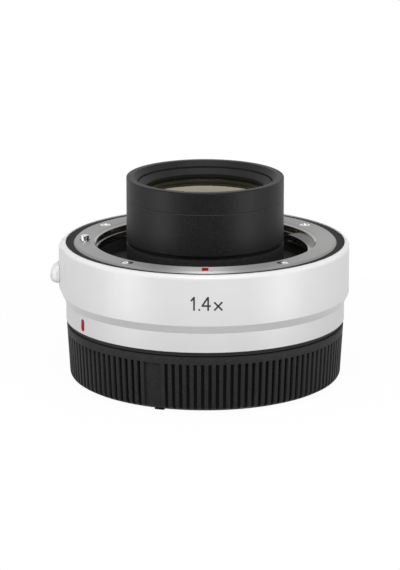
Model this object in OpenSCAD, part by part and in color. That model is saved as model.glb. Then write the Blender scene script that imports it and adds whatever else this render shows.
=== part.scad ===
// Camera teleconverter standing on its rear dust cap, in millimetres.
// The optical axis is Z, the cap's base is z = 0 and the front index mark faces -Y.
// Angles round the axis count from -Y towards +X.

/* [Mount rings] */
// Rear flange to front mount face
mount_to_mount = 20.28; // [19.8:0.02:23]
// Radius of the front throat
throat_r = 27; // [26.8:0.05:27.4]
// Width of the front mount ring outside the throat
ring_w = 5.45; // [5:0.05:5.8]
// Thickness of the front mount ring
front_ring_t = 3.4; // [3:0.1:3.8]
// Reach of the bayonet claws into the throat
claw_reach = 1.6; // [1:0.05:2]
// Thickness of the bayonet claws
claw_t = 1.2; // [0.8:0.1:1.8]
// Ledge in the throat at the top of the claws
ledge_w = 0.25; // [0.1:0.05:0.35]
// Bevel at the mouth of the throat
throat_bevel = 0.6; // [0.2:0.05:0.9]
// Bevel of the front ring's outer edge
ring_bevel = 0.45; // [0.2:0.05:0.8]
// Edge of the rear mount ring inside the front one's
rear_ring_inset = 0.15; // [0:0.05:0.8]
// Thickness of the rear mount ring's flange
rear_ring_t = 1.4; // [1.1:0.1:1.8]
// Wall of the rear bayonet tail
tail_wall = 1.5; // [1:0.1:2]
// Length of the rear bayonet tail below its flange
tail_l = 5; // [4.9:0.1:6]
// Thickness of the rear bayonet lugs
lug_t = 1.4; // [0.9:0.1:1.5]
// Running clearance between a tail and a throat
bayonet_clear = 0.3; // [0.2:0.05:0.4]
// Thickness of the bayonet leaf spring
leaf_t = 0.25; // [0.15:0.05:0.35]
// Downward set of the spring leaves in degrees
leaf_tilt = 2.2; // [0.5:0.1:3]
// Width of the front index mark
mark_w = 1.55; // [1:0.05:2.5]
// Radial length of the front index mark
mark_l = 3; // [2:0.1:3.6]
// Depth of the paint-filled marks
mark_depth = 0.15; // [0.1:0.01:0.3]

/* [Screws] */
// Circle of front mount screws inside the ring's edge
front_screw_inset = 2.65; // [2.4:0.05:2.9]
// Circle of rear mount screws inside the ring's edge
rear_screw_inset = 3.3; // [3:0.05:3.5]
// Head radius of a mount ring screw
mount_head_r = 1.5; // [1.2:0.05:1.6]
// Head height of a mount ring screw
mount_head_h = 0.8; // [0.5:0.05:1]
// Shank radius of a mount ring screw
mount_shank_r = 0.8; // [0.5:0.05:0.9]
// Bite of a mount ring screw in the frame
mount_bite = 3; // [2:0.1:4]
// Head radius of a small screw
small_head_r = 0.9; // [0.7:0.05:1]
// Head height of a small screw
small_head_h = 0.5; // [0.3:0.05:0.6]
// Shank radius of a small screw
small_shank_r = 0.5; // [0.35:0.05:0.6]
// Bite of a small screw
small_bite = 1; // [0.6:0.1:1.1]

/* [Housing] */
// Width of the trim ring's seat round the front mount ring
trim_w = 2.02; // [1.6:0.02:2.4]
// Lower band inside the white body
band_inset = 1.15; // [0.6:0.05:1.3]
// Height of the lower band
band_h = 4.68; // [4:0.02:5]
// Height of the slope between band and body
slope_h = 2.14; // [1.5:0.02:2.3]
// Wall of the housing
wall = 1.6; // [1.2:0.05:1.7]
// Rounding of the top lip
lip_round = 1.13; // [0.8:0.01:1.2]
// Lip below the front mount face
lip_drop = 0.18; // [0:0.02:0.6]
// Thickness of the lip clamped under the frame
clamp_t = 1; // [0.8:0.1:1.6]
// Width of the lip clamped under the frame
clamp_w = 1.95; // [1.5:0.05:2]
// Depth of the trim ring's seat below the lip
trim_depth = 1; // [0.8:0.05:1.3]
// Thickness of the trim ring
trim_t = 0.75; // [0.5:0.05:0.8]
// Thickness of the shoulder under the trim ring
shoulder_t = 1; // [0.7:0.05:1.3]
// Height of the gasket
gasket_t = 1; // [0.8:0.05:1.4]
// Gasket below the rear flange
gasket_proud = 0.15; // [0:0.01:0.3]
// Width of the gasket
gasket_w = 1.55; // [1:0.05:1.8]
// Angle of the rear index mark
rear_mark_theta = -59.8; // [-70:0.1:-50]
// Height of the rear index mark
rear_mark_h = 3; // [2:0.1:3.1]
// Width of the rear index mark
rear_mark_w = 1.2; // [0.8:0.05:1.5]
// Rear index mark above the bottom edge of the housing
rear_mark_rise = 0.7; // [0.5:0.05:0.8]

/* [Release lever] */
// Angle of the lever and the lock pin
lever_theta = -90; // [-93:0.5:-87]
// Travel of the lever and the lock pin
lever_travel = 1.2; // [1:0.05:1.3]
// Raised pad under the lever, above the white body
pad_rise = 0.6; // [0.5:0.05:1]
// Curve in which the raised pad swells out of the wall
pad_curve_r = 20; // [16:0.5:25]
// Top of the raised pad below the lip
pad_drop = 0.5; // [0.4:0.05:1.5]
// Rounding of the pad's top edge
pad_round = 1; // [0.4:0.05:1.05]
// Width of the lever knob
knob_w = 7.1; // [6.8:0.1:8]
// Reach of the knob beyond the pad
knob_out = 1.95; // [1.7:0.05:2.5]
// Bottom of the knob above the pad's bottom edge
knob_rise = 2; // [1.5:0.05:2.1]
// Height of the knob
knob_h = 4.9; // [4.8:0.1:5.6]
// Height of the knob's upright face
knob_face_h = 2.2; // [1.5:0.1:3]
// Rounding of the knob's bottom edge
knob_round = 0.95; // [0.3:0.05:1.1]
// Corner radius of the knob
knob_corner = 2.2; // [1:0.1:2.4]
// Top edge of the knob at the pad
knob_edge = 0.25; // [0.15:0.05:0.6]
// Depth of the finger dish in the knob
dish_depth = 0.3; // [0.1:0.05:0.5]
// Radius of the finger dish in the knob
dish_r = 5; // [4:0.5:12]
// Width of the neck through the housing
neck_w = 4.8; // [4.4:0.1:5.4]
// Height of the neck through the housing
neck_h = 1.8; // [1.5:0.1:1.9]
// Thickness of the slide behind the housing wall
slide_t = 1.1; // [0.8:0.05:1.15]
// Width of the slide behind the housing wall
slide_w = 10.4; // [10:0.1:12]
// Running gap of the lever
lever_gap = 0.15; // [0.1:0.01:0.2]
// Radius of the lock pin
pin_r = 1; // [0.7:0.05:1.1]
// Radius of the pin's hole in the mount ring
pin_hole_r = 1.3; // [1.25:0.05:1.5]
// Lock pin inside the front mount ring's edge
pin_inset = 2.75; // [2.3:0.05:2.9]
// Lock pin above the mount face
pin_out = 1; // [0.8:0.05:1.1]
// Radius of the pin's collar
collar_r = 1.6; // [1.45:0.05:1.7]
// Thickness of the pin's collar
collar_t = 0.8; // [0.5:0.05:1]
// Radius of the pin's tail
pin_tail_r = 0.7; // [0.5:0.05:0.75]
// Thickness of the plate under the springs
lock_plate_t = 1; // [0.7:0.05:1.2]
// Space for the springs at rest
spring_l = 4.35; // [4.2:0.05:5]
// Mean radius of the coil springs
coil_r = 1.05; // [0.98:0.01:1.08]
// Wire radius of the coil springs
wire_r = 0.15; // [0.1:0.01:0.16]
// Turns of the coil springs
coil_turns = 5; // [4:1:6]
// From the lock pin's spring to the lever's spring
spring_spacing = 3.2; // [3.05:0.05:3.4]
// From the lock pin to each screw of the lock plate
lock_screw_spacing = 6.05; // [5.8:0.05:6.4]

/* [Barrel] */
// Trench between the front barrel and the throat
trench_w = 7.6; // [7:0.05:8]
// Barrel top above the front mount face
barrel_reach = 16.16; // [15.5:0.02:18]
// Gap between the front mount face and the barrel's shoulder
shoulder_rise = 0.17; // [0:0.01:0.6]
// Height of the hood ring
hood_h = 5.39; // [5.2:0.01:6]
// Edge rounding of the hood ring
hood_round = 0.3; // [0.1:0.05:0.5]
// Width of the hood's flat rim
rim_w = 1.6; // [1:0.05:2]
// Width of the hood's bevelled mouth
mouth_w = 1.2; // [0.8:0.05:1.3]
// Depth of the hood's bevelled mouth
mouth_depth = 1.24; // [0.8:0.02:1.5]
// Height of the spigot that takes the hood ring
spigot_h = 1.3; // [1.1:0.05:1.6]
// Wall of the spigot that takes the hood ring
spigot_wall = 1.6; // [1.2:0.05:1.9]
// Gap above the front retainer
retainer_drop = 1.64; // [1.4:0.02:1.9]
// Cover of the front retainer over the front lens
retainer_cover = 1.15; // [0.9:0.05:1.6]
// Depth of the front retainer's cone
cone_depth = 1.25; // [0.8:0.05:1.5]
// Step in from the barrel to its neck
neck_step = 1; // [0.9:0.05:1.6]

/* [Optics] */
// Lenses 1 and 2 inside the hood's mouth
front_lens_inset = 0.65; // [0.4:0.01:0.8]
// Wall of the barrel round lenses 3, 4 and 5
barrel_wall = 4.85; // [4.6:0.05:5.4]
// Lenses 6 and 7 wider than lenses 3, 4 and 5
rear_lens_extra = 0.5; // [0:0.05:0.8]
// Front glass below the barrel's top
glass_recess = 3.09; // [2.9:0.01:3.4]
// Rim of lens 1
lens_1_rim = 1.4; // [1:0.1:1.8]
// Centre of lens 2
lens_2_core = 1.6; // [1.2:0.1:2.2]
// Rim of lens 3
lens_3_rim = 1.1; // [0.8:0.1:1.5]
// Centre of lens 4
lens_4_core = 1.4; // [1:0.1:1.8]
// Rim of lens 5
lens_5_rim = 1.2; // [0.8:0.1:1.5]
// Centre of lens 6
lens_6_core = 1.2; // [0.9:0.1:1.5]
// Rim of lens 7
lens_7_rim = 1.1; // [0.8:0.1:1.4]
// Bulge of the front glass
bulge_front = 1.62; // [1:0.02:2]
// Bulge between lenses 1 and 2
bulge_1_2 = 2.46; // [2:0.02:3]
// Bulge behind lens 2
bulge_2 = 0.88; // [0.6:0.02:1.2]
// Bulge before lens 3
bulge_3 = 1.42; // [1:0.02:1.8]
// Bulge between lenses 3 and 4
bulge_3_4 = 2.78; // [2.2:0.02:3.2]
// Bulge between lenses 4 and 5
bulge_4_5 = 1.94; // [1.4:0.02:2.3]
// Bulge behind lens 5
bulge_5 = 1.12; // [0.6:0.02:1.2]
// Bulge before lens 6
bulge_6_front = 1.32; // [0.9:0.02:1.6]
// Bulge behind lens 6
bulge_6_rear = 1.66; // [1.1:0.02:1.9]
// Bulge before lens 7
bulge_7_front = 2; // [1.3:0.02:2.2]
// Bulge behind lens 7
bulge_7_rear = 0.88; // [0.5:0.02:1]
// Width of the seat round a lens opening
lens_seat = 1; // [0.7:0.05:1.3]
// Gap in a cemented joint and at a lens seat
lens_gap = 0.02; // [0.01:0.01:0.05]
// Thickness of the middle retainer
middle_retainer_t = 1.2; // [0.8:0.1:1.5]
// Thickness of the rear spacer
rear_spacer_t = 1.5; // [1.3:0.1:1.8]
// Thickness of the rear retainer
rear_retainer_t = 1.15; // [0.95:0.05:1.3]
// Recess of the middle and rear retainers
retainer_recess = 0.4; // [0.1:0.05:0.6]
// Wall of the rear lens cell
cell_wall = 2.5; // [1.6:0.1:2.7]
// Flange of the rear lens cell
cell_flange_w = 2.8; // [2.5:0.1:3]
// Thickness of the rear lens cell's flange
cell_flange_t = 1.2; // [1:0.1:1.4]

/* [Frame] */
// Depth of the throat
throat_depth = 7.2; // [7:0.1:7.5]
// Floor of the throat liner
liner_t = 1.5; // [1.2:0.1:1.7]
// Wall of the throat liner
liner_wall = 0.7; // [0.5:0.05:0.7]
// Top of the liner's collar below the mount face
collar_drop = 0.63; // [0.4:0.01:1.5]
// Collar of the throat liner
liner_collar = 0.9; // [0.6:0.05:1.1]
// Thickness of the frame's deck
deck_t = 2; // [1.6:0.1:2.2]
// Bore of the deck outside lenses 6 and 7
deck_bore_step = 0.8; // [0.3:0.05:0.9]
// Wall of the frame
frame_wall = 1.1; // [0.9:0.05:1.2]
// Thickness of the frame's top flange
top_flange_t = 1.2; // [1:0.05:1.25]
// Thickness of the frame's bottom flange
bottom_flange_t = 1.7; // [1.3:0.1:2]
// Thickness of the frame's outer ribs
rib_t = 1.2; // [0.8:0.1:2]
// Clearance between the pieces of the body
fit = 0.05; // [0.03:0.01:0.06]

/* [Electronics] */
// Number of contacts in each mount
contact_count = 12; // [8:1:12]
// From contact to contact
contact_spacing = 1.634; // [1.5:0.002:1.66]
// Circle of front contacts inside the throat
contact_inset = 3.6; // [3.4:0.05:3.8]
// Radius of a contact pin
contact_r = 0.4; // [0.3:0.02:0.42]
// Contact pin above its block
contact_out = 1; // [0.8:0.05:1.2]
// Travel of the contact pins
contact_travel = 0.6; // [0.4:0.05:0.7]
// Top of the contact block below the mount face
contact_drop = 5.9; // [5.7:0.05:6.1]
// Radial depth of the contact block
contact_block_w = 4; // [3.4:0.1:4.2]
// Circuit board thickness
board_t = 1.2; // [0.8:0.1:1.4]
// Radial width of the circuit board
board_w = 7; // [6.5:0.1:7.2]
// Circuit board below the deck
board_drop = 2.3; // [2:0.1:2.6]
// Side of the processor
chip_w = 5; // [4:0.1:5.4]
// Height of the processor
chip_h = 1; // [0.6:0.1:1.4]
// Thickness of the flexible strips
flex_t = 0.15; // [0.1:0.01:0.2]
// Thickness of the rear contact block
rear_block_t = 1.8; // [1.5:0.1:2]
// Radial depth of the rear contact block
rear_block_w = 2.7; // [2.4:0.1:2.8]
// Width of the rear light mask's window
window_w = 31; // [26:0.5:33]
// Height of the rear light mask's window
window_h = 22; // [18:0.5:24]
// Thickness of the rear light mask
mask_t = 1.2; // [1.1:0.1:1.5]

/* [Rear cap] */
// Height of the cap
cap_h = 14.5; // [13.6:0.1:18]
// Rim of the cap inside the housing's lower band
cap_inset = 0.15; // [-0.4:0.05:0.4]
// Taper of the cap from its rim to its base
cap_draft = 0.85; // [0.1:0.05:1.2]
// Rounding between the cap's side and the sweep of its base
cap_round = 1.5; // [0.8:0.1:2.2]
// Radius of the sweep from the cap's side to its flat base
cap_sweep_r = 8; // [7:0.1:9]
// Flat base inside the cap's side
cap_foot_inset = 4.95; // [4.5:0.05:5.4]
// Wall of the cap
cap_wall = 2.2; // [1.8:0.05:2.6]
// Floor of the cap
cap_floor = 1.8; // [1.4:0.1:2.4]
// Gap between the cap's rim and the rear flange
cap_gap = 0.4; // [0.3:0.05:0.8]
// Number of grip grooves round the cap
groove_count = 120; // [90:2:124]
// Width of a grip groove
groove_w = 0.8; // [0.5:0.05:0.95]
// Depth of a grip groove
groove_depth = 0.8; // [0.4:0.05:0.9]
// Smooth band above the grooves
rim_band = 1.95; // [1.2:0.05:3]
// Angle of the smooth index panel
panel_theta = -22; // [-30:0.5:-15]
// Angle covered by the index panel
panel_span = 7.4; // [6.5:0.1:8]
// Recess of the index panel
panel_depth = 0.55; // [0.3:0.05:0.7]
// Wall of the ring that carries the cap's claws
cap_ring_wall = 1.4; // [1:0.1:1.8]
// Play between the cap's ring and the bayonet tail
cap_play = 0.4; // [0.3:0.05:0.6]
// Thickness of the cap's claws
cap_claw_t = 1.4; // [1:0.1:1.6]
// Angle covered by each cap claw
cap_claw_span = 24; // [18:1:24]

/* [Hidden] */
$fn = 96;
curve_facets = 320;
over = 1;
paint_fit = 0.02;

white = "#f0f0ee";
black = "#1b1b1c";
silver = "#b9b9b6";
dark_grey = "#454547";
gold = "#c9a24a";
red = "#c8202c";
glass = "#8fa3a0";
green = "#1f5a3c";
amber = "#b8742c";

// Claws of the mount and lugs of the tail, by angle: the uneven spacing keys the mount.
claw_centres = [98, 198, -22];
claw_spans = [54, 46, 54];
lug_margin = 6;
front_screw_thetas = [38.9, -38.9, 122.6, -122.6];
rear_screw_thetas = [45, 135, -45, -135];
contact_theta = 180;
spring_root_back = 6;
leaf_span = 32;

// Heights from the base upwards.
flange_z = cap_h + cap_gap;
face_z = flange_z + mount_to_mount;
seat_z = face_z - front_ring_t;
claw_z = seat_z + claw_t;
clamp_z = flange_z + rear_ring_t;
frame_z = clamp_z + clamp_t;
floor_z = face_z - throat_depth;
deck_top = floor_z - liner_t;
deck_z = deck_top - deck_t;
tail_z = flange_z - tail_l;
lug_top = flange_z - front_ring_t - fit;
lug_z = lug_top - lug_t;
housing_z = flange_z - gasket_proud + gasket_t;
step_z = housing_z + band_h;
slope_top = step_z + slope_h;
lip_z = face_z - lip_drop;
trim_z = lip_z - trim_depth;
shoulder_z = trim_z - shoulder_t;
flange_floor = frame_z + bottom_flange_t;
top_flange_z = seat_z - top_flange_t;

// Radii shared by the body's pieces, outwards and inwards from the throat.
front_ring_r = throat_r + ring_w;
rear_ring_r = front_ring_r - rear_ring_inset;
claw_r = throat_r - claw_reach;
front_screw_circle_r = front_ring_r - front_screw_inset;
rear_screw_circle_r = rear_ring_r - rear_screw_inset;
body_r = front_ring_r + trim_w + lip_round;
band_r = body_r - band_inset;
tail_r = claw_r - bayonet_clear;
tail_in_r = tail_r - tail_wall;
lug_r = throat_r - ledge_w - bayonet_clear;
ledge_r = throat_r - ledge_w;
frame_in_r = throat_r + 2 * bayonet_clear;
frame_out_r = frame_in_r + frame_wall;
frame_flange_r = front_ring_r - fit;
liner_r = frame_in_r - 2 * fit;
lip_in_r = rear_ring_r - clamp_w;
rear_spigot_r = lip_in_r - fit;
seal_in_r = rear_ring_r + fit;
body_in_r = body_r - wall;
band_in_r = band_r - wall;
trim_seat_r = body_r - lip_round;
trim_r = trim_seat_r - fit;
shoulder_r = front_ring_r + 3 * fit;
trim_in_r = front_ring_r + fit;
mask_r = tail_in_r - 2 * fit;
mask_skirt_wall = 0.9;
mask_lip_w = 0.55;
mask_lip_t = 0.6;
frame_bore_r = mask_r + mask_lip_w + 2 * fit;

// Barrel and glass.
barrel_r = throat_r - trench_w;
barrel_neck_r = barrel_r - neck_step;
liner_collar_in_r = barrel_neck_r + 2 * fit;
liner_collar_r = liner_collar_in_r + liner_collar;
mouth_r = barrel_r - rim_w;
mouth_in_r = mouth_r - mouth_w;
front_lens_r = mouth_in_r - front_lens_inset;
front_aperture_r = front_lens_r - retainer_cover;
middle_lens_r = barrel_neck_r - barrel_wall - fit;
rear_lens_r = middle_lens_r + rear_lens_extra;
deck_bore_r = rear_lens_r + deck_bore_step;
barrel_top = face_z + barrel_reach;
barrel_shoulder_z = face_z + shoulder_rise;
seam_z = barrel_top - hood_h;
spigot_r = front_lens_r + fit + spigot_wall;
glass_z = barrel_top - glass_recess;
bevel_w = 0.45;
seam_bevel = 0.12;
front_a = front_lens_r - bevel_w;
middle_a = middle_lens_r - bevel_w;
front_seat_r = front_lens_r - lens_seat - bevel_w;
middle_seat_r = middle_lens_r - lens_seat;
rear_seat_r = rear_lens_r - lens_seat - bevel_w;
lens_1_top = glass_z - bulge_front;
lens_1_bottom = lens_1_top - lens_1_rim;
lens_2_top = lens_1_bottom - lens_gap;
lens_2_bottom = lens_2_top - bulge_1_2 - lens_2_core - bulge_2;
front_seat_z = lens_2_bottom - lens_gap;
middle_retainer_z = deck_top + retainer_recess;
lens_5_bottom = middle_retainer_z + middle_retainer_t + lens_gap;
lens_5_top = lens_5_bottom + lens_5_rim;
lens_4_bottom = lens_5_top + lens_gap;
lens_4_top = lens_4_bottom + bulge_4_5 + lens_4_core + bulge_3_4;
lens_3_bottom = lens_4_top + lens_gap;
lens_3_top = lens_3_bottom + lens_3_rim;
middle_seat_z = lens_3_top + lens_gap;
cell_seat_z = deck_z - cell_flange_t;
lens_6_top = cell_seat_z - lens_gap;
lens_6_bottom = lens_6_top - bulge_6_front - lens_6_core - bulge_6_rear;
rear_spacer_z = lens_6_bottom - lens_gap - rear_spacer_t;
lens_7_top = rear_spacer_z - lens_gap;
lens_7_bottom = lens_7_top - lens_7_rim;
rear_retainer_z = lens_7_bottom - lens_gap - rear_retainer_t;
cell_z = rear_retainer_z - retainer_recess;
cell_r = rear_lens_r + fit + cell_wall;
cell_flange_r = cell_r + cell_flange_w;
retainer_top = barrel_top - retainer_drop;
retainer_z = glass_z - sag(curve(bulge_front, front_a), front_aperture_r) + lens_gap;
retainer_r = mouth_in_r - fit;
retainer_step_z = seam_z + spigot_h + 2 * fit;
barrel_screw_r = (middle_lens_r + barrel_neck_r) / 2;
cell_screw_margin = 0.4;
cell_screw_r = cell_flange_r - small_head_r - cell_screw_margin;

// Electronics.
contact_circle_r = throat_r - contact_inset;
contact_pitch = arc(contact_spacing, contact_circle_r);
contact_thetas = [for (i = [0 : contact_count - 1])
    contact_theta + (i - (contact_count - 1) / 2) * contact_pitch];
contact_margin = 0.5;
contact_span = arc(contact_count * contact_spacing + contact_margin, contact_circle_r);
ear_l = 2.85;
ear_span = 2 * arc(ear_l, contact_circle_r);
ear_t = 1.2;
ear_inset = 0.3;
contact_top = face_z - contact_drop;
contact_block_offset = 0.2;
contact_block_in_r = contact_circle_r - contact_block_w / 2 - contact_block_offset;
contact_block_r = contact_block_in_r + contact_block_w;
contact_ear_theta = contact_span / 2 + ear_span / 4;
contact_collar_w = 0.2;
contact_collar_r = contact_r + contact_collar_w;
contact_step = 1.2;
contact_step_z = contact_top - contact_step;
comb_t = 0.2;
comb_reach = 1.7;
comb_strip_w = 0.7;
finger_w = 0.9;
finger_over = 0.7;
comb_in_r = contact_circle_r - comb_reach;
front_flex_r = comb_in_r + 2 * flex_t;
board_top = deck_z - board_drop;
board_z = board_top - board_t;
board_r = frame_in_r - 8 * fit;
board_in_r = board_r - board_w;
board_screw_inset = 1.7;
board_screw_r = board_r - board_screw_inset;
board_screw_thetas = [0, 120, -120];
standoff_r = 1.3;
rear_block_z = tail_z - 2 * fit;
mask_z = rear_block_z + rear_block_t;
rear_block_gap = 0.2;
rear_block_r = mask_r - rear_block_gap;
rear_block_in_r = rear_block_r - rear_block_w;
rear_contact_circle_r = rear_block_in_r + rear_block_w / 2;
rear_contact_r = 0.6;
rear_flex_inset = 0.8;
rear_flex_r = rear_block_in_r + rear_flex_inset;
rear_block_span = contact_span + ear_span;
rear_ear_inset = 1.35;
flex_w = 7;
contact_pad_h = 0.7;
contact_pad_proud = 0.1;

// Lever, lock pin and springs.
pin_circle_r = front_ring_r - pin_inset;
pad_r = body_r + pad_rise;
knob_r = pad_r + knob_out;
pad_lift = 0.2;
pad_z = slope_top + pad_lift;
pad_h = lip_z - pad_drop - pad_z;
knob_z = pad_z + knob_rise;
knob_in_r = pad_r + lever_gap;
neck_floor = 0.25;
neck_z = knob_z + lever_travel + lever_gap + neck_floor;
slide_r = body_in_r - lever_gap;
slide_in_r = slide_r - slide_t;
arm_t = 1.2;
arm_z = top_flange_z - lever_gap - arm_t;
frame_gap = 0.2;
arm_in_r = frame_out_r + frame_gap;
collar_z = arm_z - fit - collar_t;
lock_plate_z = collar_z - spring_l - lock_plate_t;
lock_post_r = 1.2;
lock_plate_w = 2.7;
lock_plate_in_r = frame_out_r + frame_gap;
lock_plate_r = lock_plate_in_r + lock_plate_w;
lock_post_circle_r = lock_plate_in_r + lock_plate_w / 2;
lock_post_theta = arc(lock_screw_spacing, lock_post_circle_r);
lock_plate_span = 2 * lock_post_theta + arc(lock_plate_w, lock_post_circle_r);
lever_spring_turn = arc(spring_spacing, pin_circle_r);
peg_r = 0.65;
peg_h = 1.4;
slide_rest = 0.6;
slide_z = slope_top + lever_travel + slide_rest;
slide_span = arc(slide_w, slide_r);
slide_top = arm_z + arm_t;
guide_w = 0.7;
guide_gap = 0.24;

// Radius of a sphere from its bulge over an opening, and its bulge over another opening.
function curve(bulge, a) = (a * a + bulge * bulge) / (2 * bulge);
function sag(radius, a) = radius - sqrt(radius * radius - a * a);

// Angle that a length covers along a circle.
function arc(length, r) = length / r * 180 / PI;

// Places children with local +X pointing outwards at the given angle.
module turned(theta) {
    rotate(theta - 90)
        children();
}

// Places children at a radius and angle, upright.
module at(r, theta) {
    turned(theta)
        translate([r, 0, 0])
            children();
}

module ring(r_in, r_out, z0, z1) {
    rotate_extrude()
        translate([r_in, z0])
            square([r_out - r_in, z1 - z0]);
}

module arc_block(r_in, r_out, z0, z1, theta, span) {
    rotate(theta - 90 - span / 2)
        rotate_extrude(angle = span)
            translate([r_in, z0])
                square([r_out - r_in, z1 - z0]);
}

module post(r, z0, z1) {
    translate([0, 0, z0])
        cylinder(r = r, h = z1 - z0);
}

// Extrudes a flat outline of width and height outwards between two radii.
module outwards(theta, r0, r1) {
    turned(theta)
        translate([r0, 0, 0])
            rotate([90, 0, 90])
                linear_extrude(r1 - r0)
                    children();
}

module rounded_plate(w, h, corner) {
    translate([-w / 2, corner])
        square([w, h - 2 * corner]);
    translate([corner - w / 2, 0])
        square([w - 2 * corner, h]);
    for (x = [corner - w / 2, w / 2 - corner], y = [corner, h - corner])
        translate([x, y])
            circle(corner);
}

// Cuts a quarter round from the outer upper corner at the given point.
module top_corner_cut(r, z, round) {
    translate([r - round, z - round])
        difference() {
            square(round + over);
            circle(round);
        }
}

// Screw with its bearing face at z = 0 and its head above.
module screw(head_r, head_h, shank_r, length) {
    recess_w = head_r * 0.35;
    recess_l = head_r * 1.3;
    recess_d = head_h * 0.6;
    difference() {
        union() {
            cylinder(r = head_r, h = head_h);
            translate([0, 0, -length])
                cylinder(r = shank_r, h = length + head_h / 2);
        }
        for (turn = [0, 90])
            rotate(turn)
                translate([-recess_l / 2, -recess_w / 2, head_h - recess_d])
                    cube([recess_l, recess_w, recess_d + over]);
    }
}

module screw_hole(head_r, head_h, shank_r, length) {
    cylinder(r = head_r + fit, h = head_h + over);
    translate([0, 0, -length - fit])
        cylinder(r = shank_r + fit, h = length + fit + head_h);
}

module mount_screw(clamped) {
    screw(mount_head_r, mount_head_h, mount_shank_r, clamped + mount_bite);
}

module mount_screw_hole(clamped) {
    screw_hole(mount_head_r, mount_head_h, mount_shank_r, clamped + mount_bite);
}

module small_screw(clamped) {
    screw(small_head_r, small_head_h, small_shank_r, clamped + small_bite);
}

module small_screw_hole(clamped) {
    screw_hole(small_head_r, small_head_h, small_shank_r, clamped + small_bite);
}

// Lens between two rim planes. A positive bulge stands out over its opening, a negative one is hollow.
module lens(r, bottom, top, bulge_bottom, a_bottom, bulge_top, a_top) {
    difference() {
        union() {
            post(r, bottom, top);
            if (bulge_top > 0)
                translate([0, 0, top])
                    dome(bulge_top, a_top);
            if (bulge_bottom > 0)
                translate([0, 0, bottom])
                    mirror([0, 0, 1])
                        dome(bulge_bottom, a_bottom);
        }
        if (bulge_top < 0)
            translate([0, 0, top])
                mirror([0, 0, 1])
                    ball(-bulge_top, a_top);
        if (bulge_bottom < 0)
            translate([0, 0, bottom])
                ball(-bulge_bottom, a_bottom);
    }
}

// Sphere that stands up through z = 0 by the bulge over the opening.
module ball(bulge, a) {
    translate([0, 0, bulge - curve(bulge, a)])
        sphere(curve(bulge, a), $fn = curve_facets);
}

module dome(bulge, a) {
    intersection() {
        ball(bulge, a);
        post(a, -bulge / 4, 2 * bulge);
    }
}

// One unbroken wire wound into a coil between two heights.
coil_steps = 8;
coil_sides = 6;
function coil_angle(i) = 360 * i / coil_steps;
function coil_pitch(z0, z1) = (z1 - z0 - 2 * wire_r) / coil_turns;
function coil_centre(i, z0, z1) = [
    coil_r * cos(coil_angle(i)),
    coil_r * sin(coil_angle(i)),
    z0 + wire_r + coil_pitch(z0, z1) * i / coil_steps
];
function coil_ring(i, z0, z1) = let (
    a = coil_angle(i),
    rise = atan2(coil_pitch(z0, z1), 2 * PI * coil_r),
    out = [cos(a), sin(a), 0],
    up = [sin(a) * sin(rise), -cos(a) * sin(rise), cos(rise)]
) [for (j = [0 : coil_sides - 1])
    coil_centre(i, z0, z1) + wire_r * (cos(360 * j / coil_sides) * out + sin(360 * j / coil_sides) * up)];

module coil_spring(z0, z1) {
    rings = coil_turns * coil_steps;
    points = [for (i = [0 : rings]) each coil_ring(i, z0, z1)];
    sides = [for (i = [0 : rings - 1], j = [0 : coil_sides - 1])
        let (a = i * coil_sides + j, b = i * coil_sides + (j + 1) % coil_sides)
        each [[a, a + coil_sides, b], [b, a + coil_sides, b + coil_sides]]];
    first = [for (j = [1 : coil_sides - 2]) [0, j, j + 1]];
    last = [for (j = [1 : coil_sides - 2])
        [rings * coil_sides, rings * coil_sides + j + 1, rings * coil_sides + j]];
    gap = min([for (i = [0 : rings - coil_steps])
        norm(coil_centre(i, z0, z1) - coil_centre(i + coil_steps, z0, z1))]) - 2 * wire_r;
    echo(str("least gap between the turns of a coil spring: ", gap));
    polyhedron(points, concat(sides, first, last));
}

// Rear dust cap: tapered skirt with grip grooves, index panel, and an inner ring with three claws.
cap_rim_r = band_r - cap_inset;
cap_base_r = cap_rim_r - cap_draft;
cap_taper = atan((cap_rim_r - cap_base_r) / cap_h);
cap_foot_r = cap_base_r - cap_foot_inset;
cap_rim_round = 0.3;
cap_ring_drop = 0.2;
panel_z = 2;
nub_turn = 1.7;
nub_w = 2.4;
nub_inset = 1.45;
nub_z = 0.3;
nub_h = 1;
function cap_side_r(z) = cap_base_r + z * tan(cap_taper);

// The rounding's centre lies on the side's parallel and touches the sweep from inside.
cap_round_base = cap_base_r - cap_round / cos(cap_taper) - cap_foot_r;
cap_round_a = 1 / pow(cos(cap_taper), 2);
cap_round_b = cap_round_base * tan(cap_taper) - cap_sweep_r;
cap_round_c = pow(cap_round_base, 2) + pow(cap_sweep_r, 2) - pow(cap_sweep_r - cap_round, 2);
cap_round_z = (-cap_round_b - sqrt(pow(cap_round_b, 2) - cap_round_a * cap_round_c)) / cap_round_a;
cap_round_r = cap_foot_r + cap_round_base + cap_round_z * tan(cap_taper);
cap_round_turn = atan2(cap_round_z - cap_sweep_r, cap_round_r - cap_foot_r);

module cap_section() {
    difference() {
        polygon([
            [0, 0], [cap_base_r, 0], [cap_rim_r, cap_h], [cap_rim_r - cap_wall, cap_h],
            [cap_side_r(cap_floor) - cap_wall, cap_floor], [0, cap_floor]
        ]);
        translate([cap_foot_r, cap_sweep_r])
            difference() {
                polygon([[0, 0], [2 * cap_sweep_r, -cap_sweep_r], [0, -2 * cap_sweep_r]]);
                circle(cap_sweep_r);
            }
        translate([cap_round_r, cap_round_z])
            difference() {
                polygon([
                    [0, 0], 2 * cap_round * [cos(cap_taper), -sin(cap_taper)],
                    2 * cap_round * [cos(cap_round_turn), sin(cap_round_turn)]
                ]);
                circle(cap_round);
            }
        top_corner_cut(cap_rim_r, cap_h, cap_rim_round);
    }
}

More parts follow.
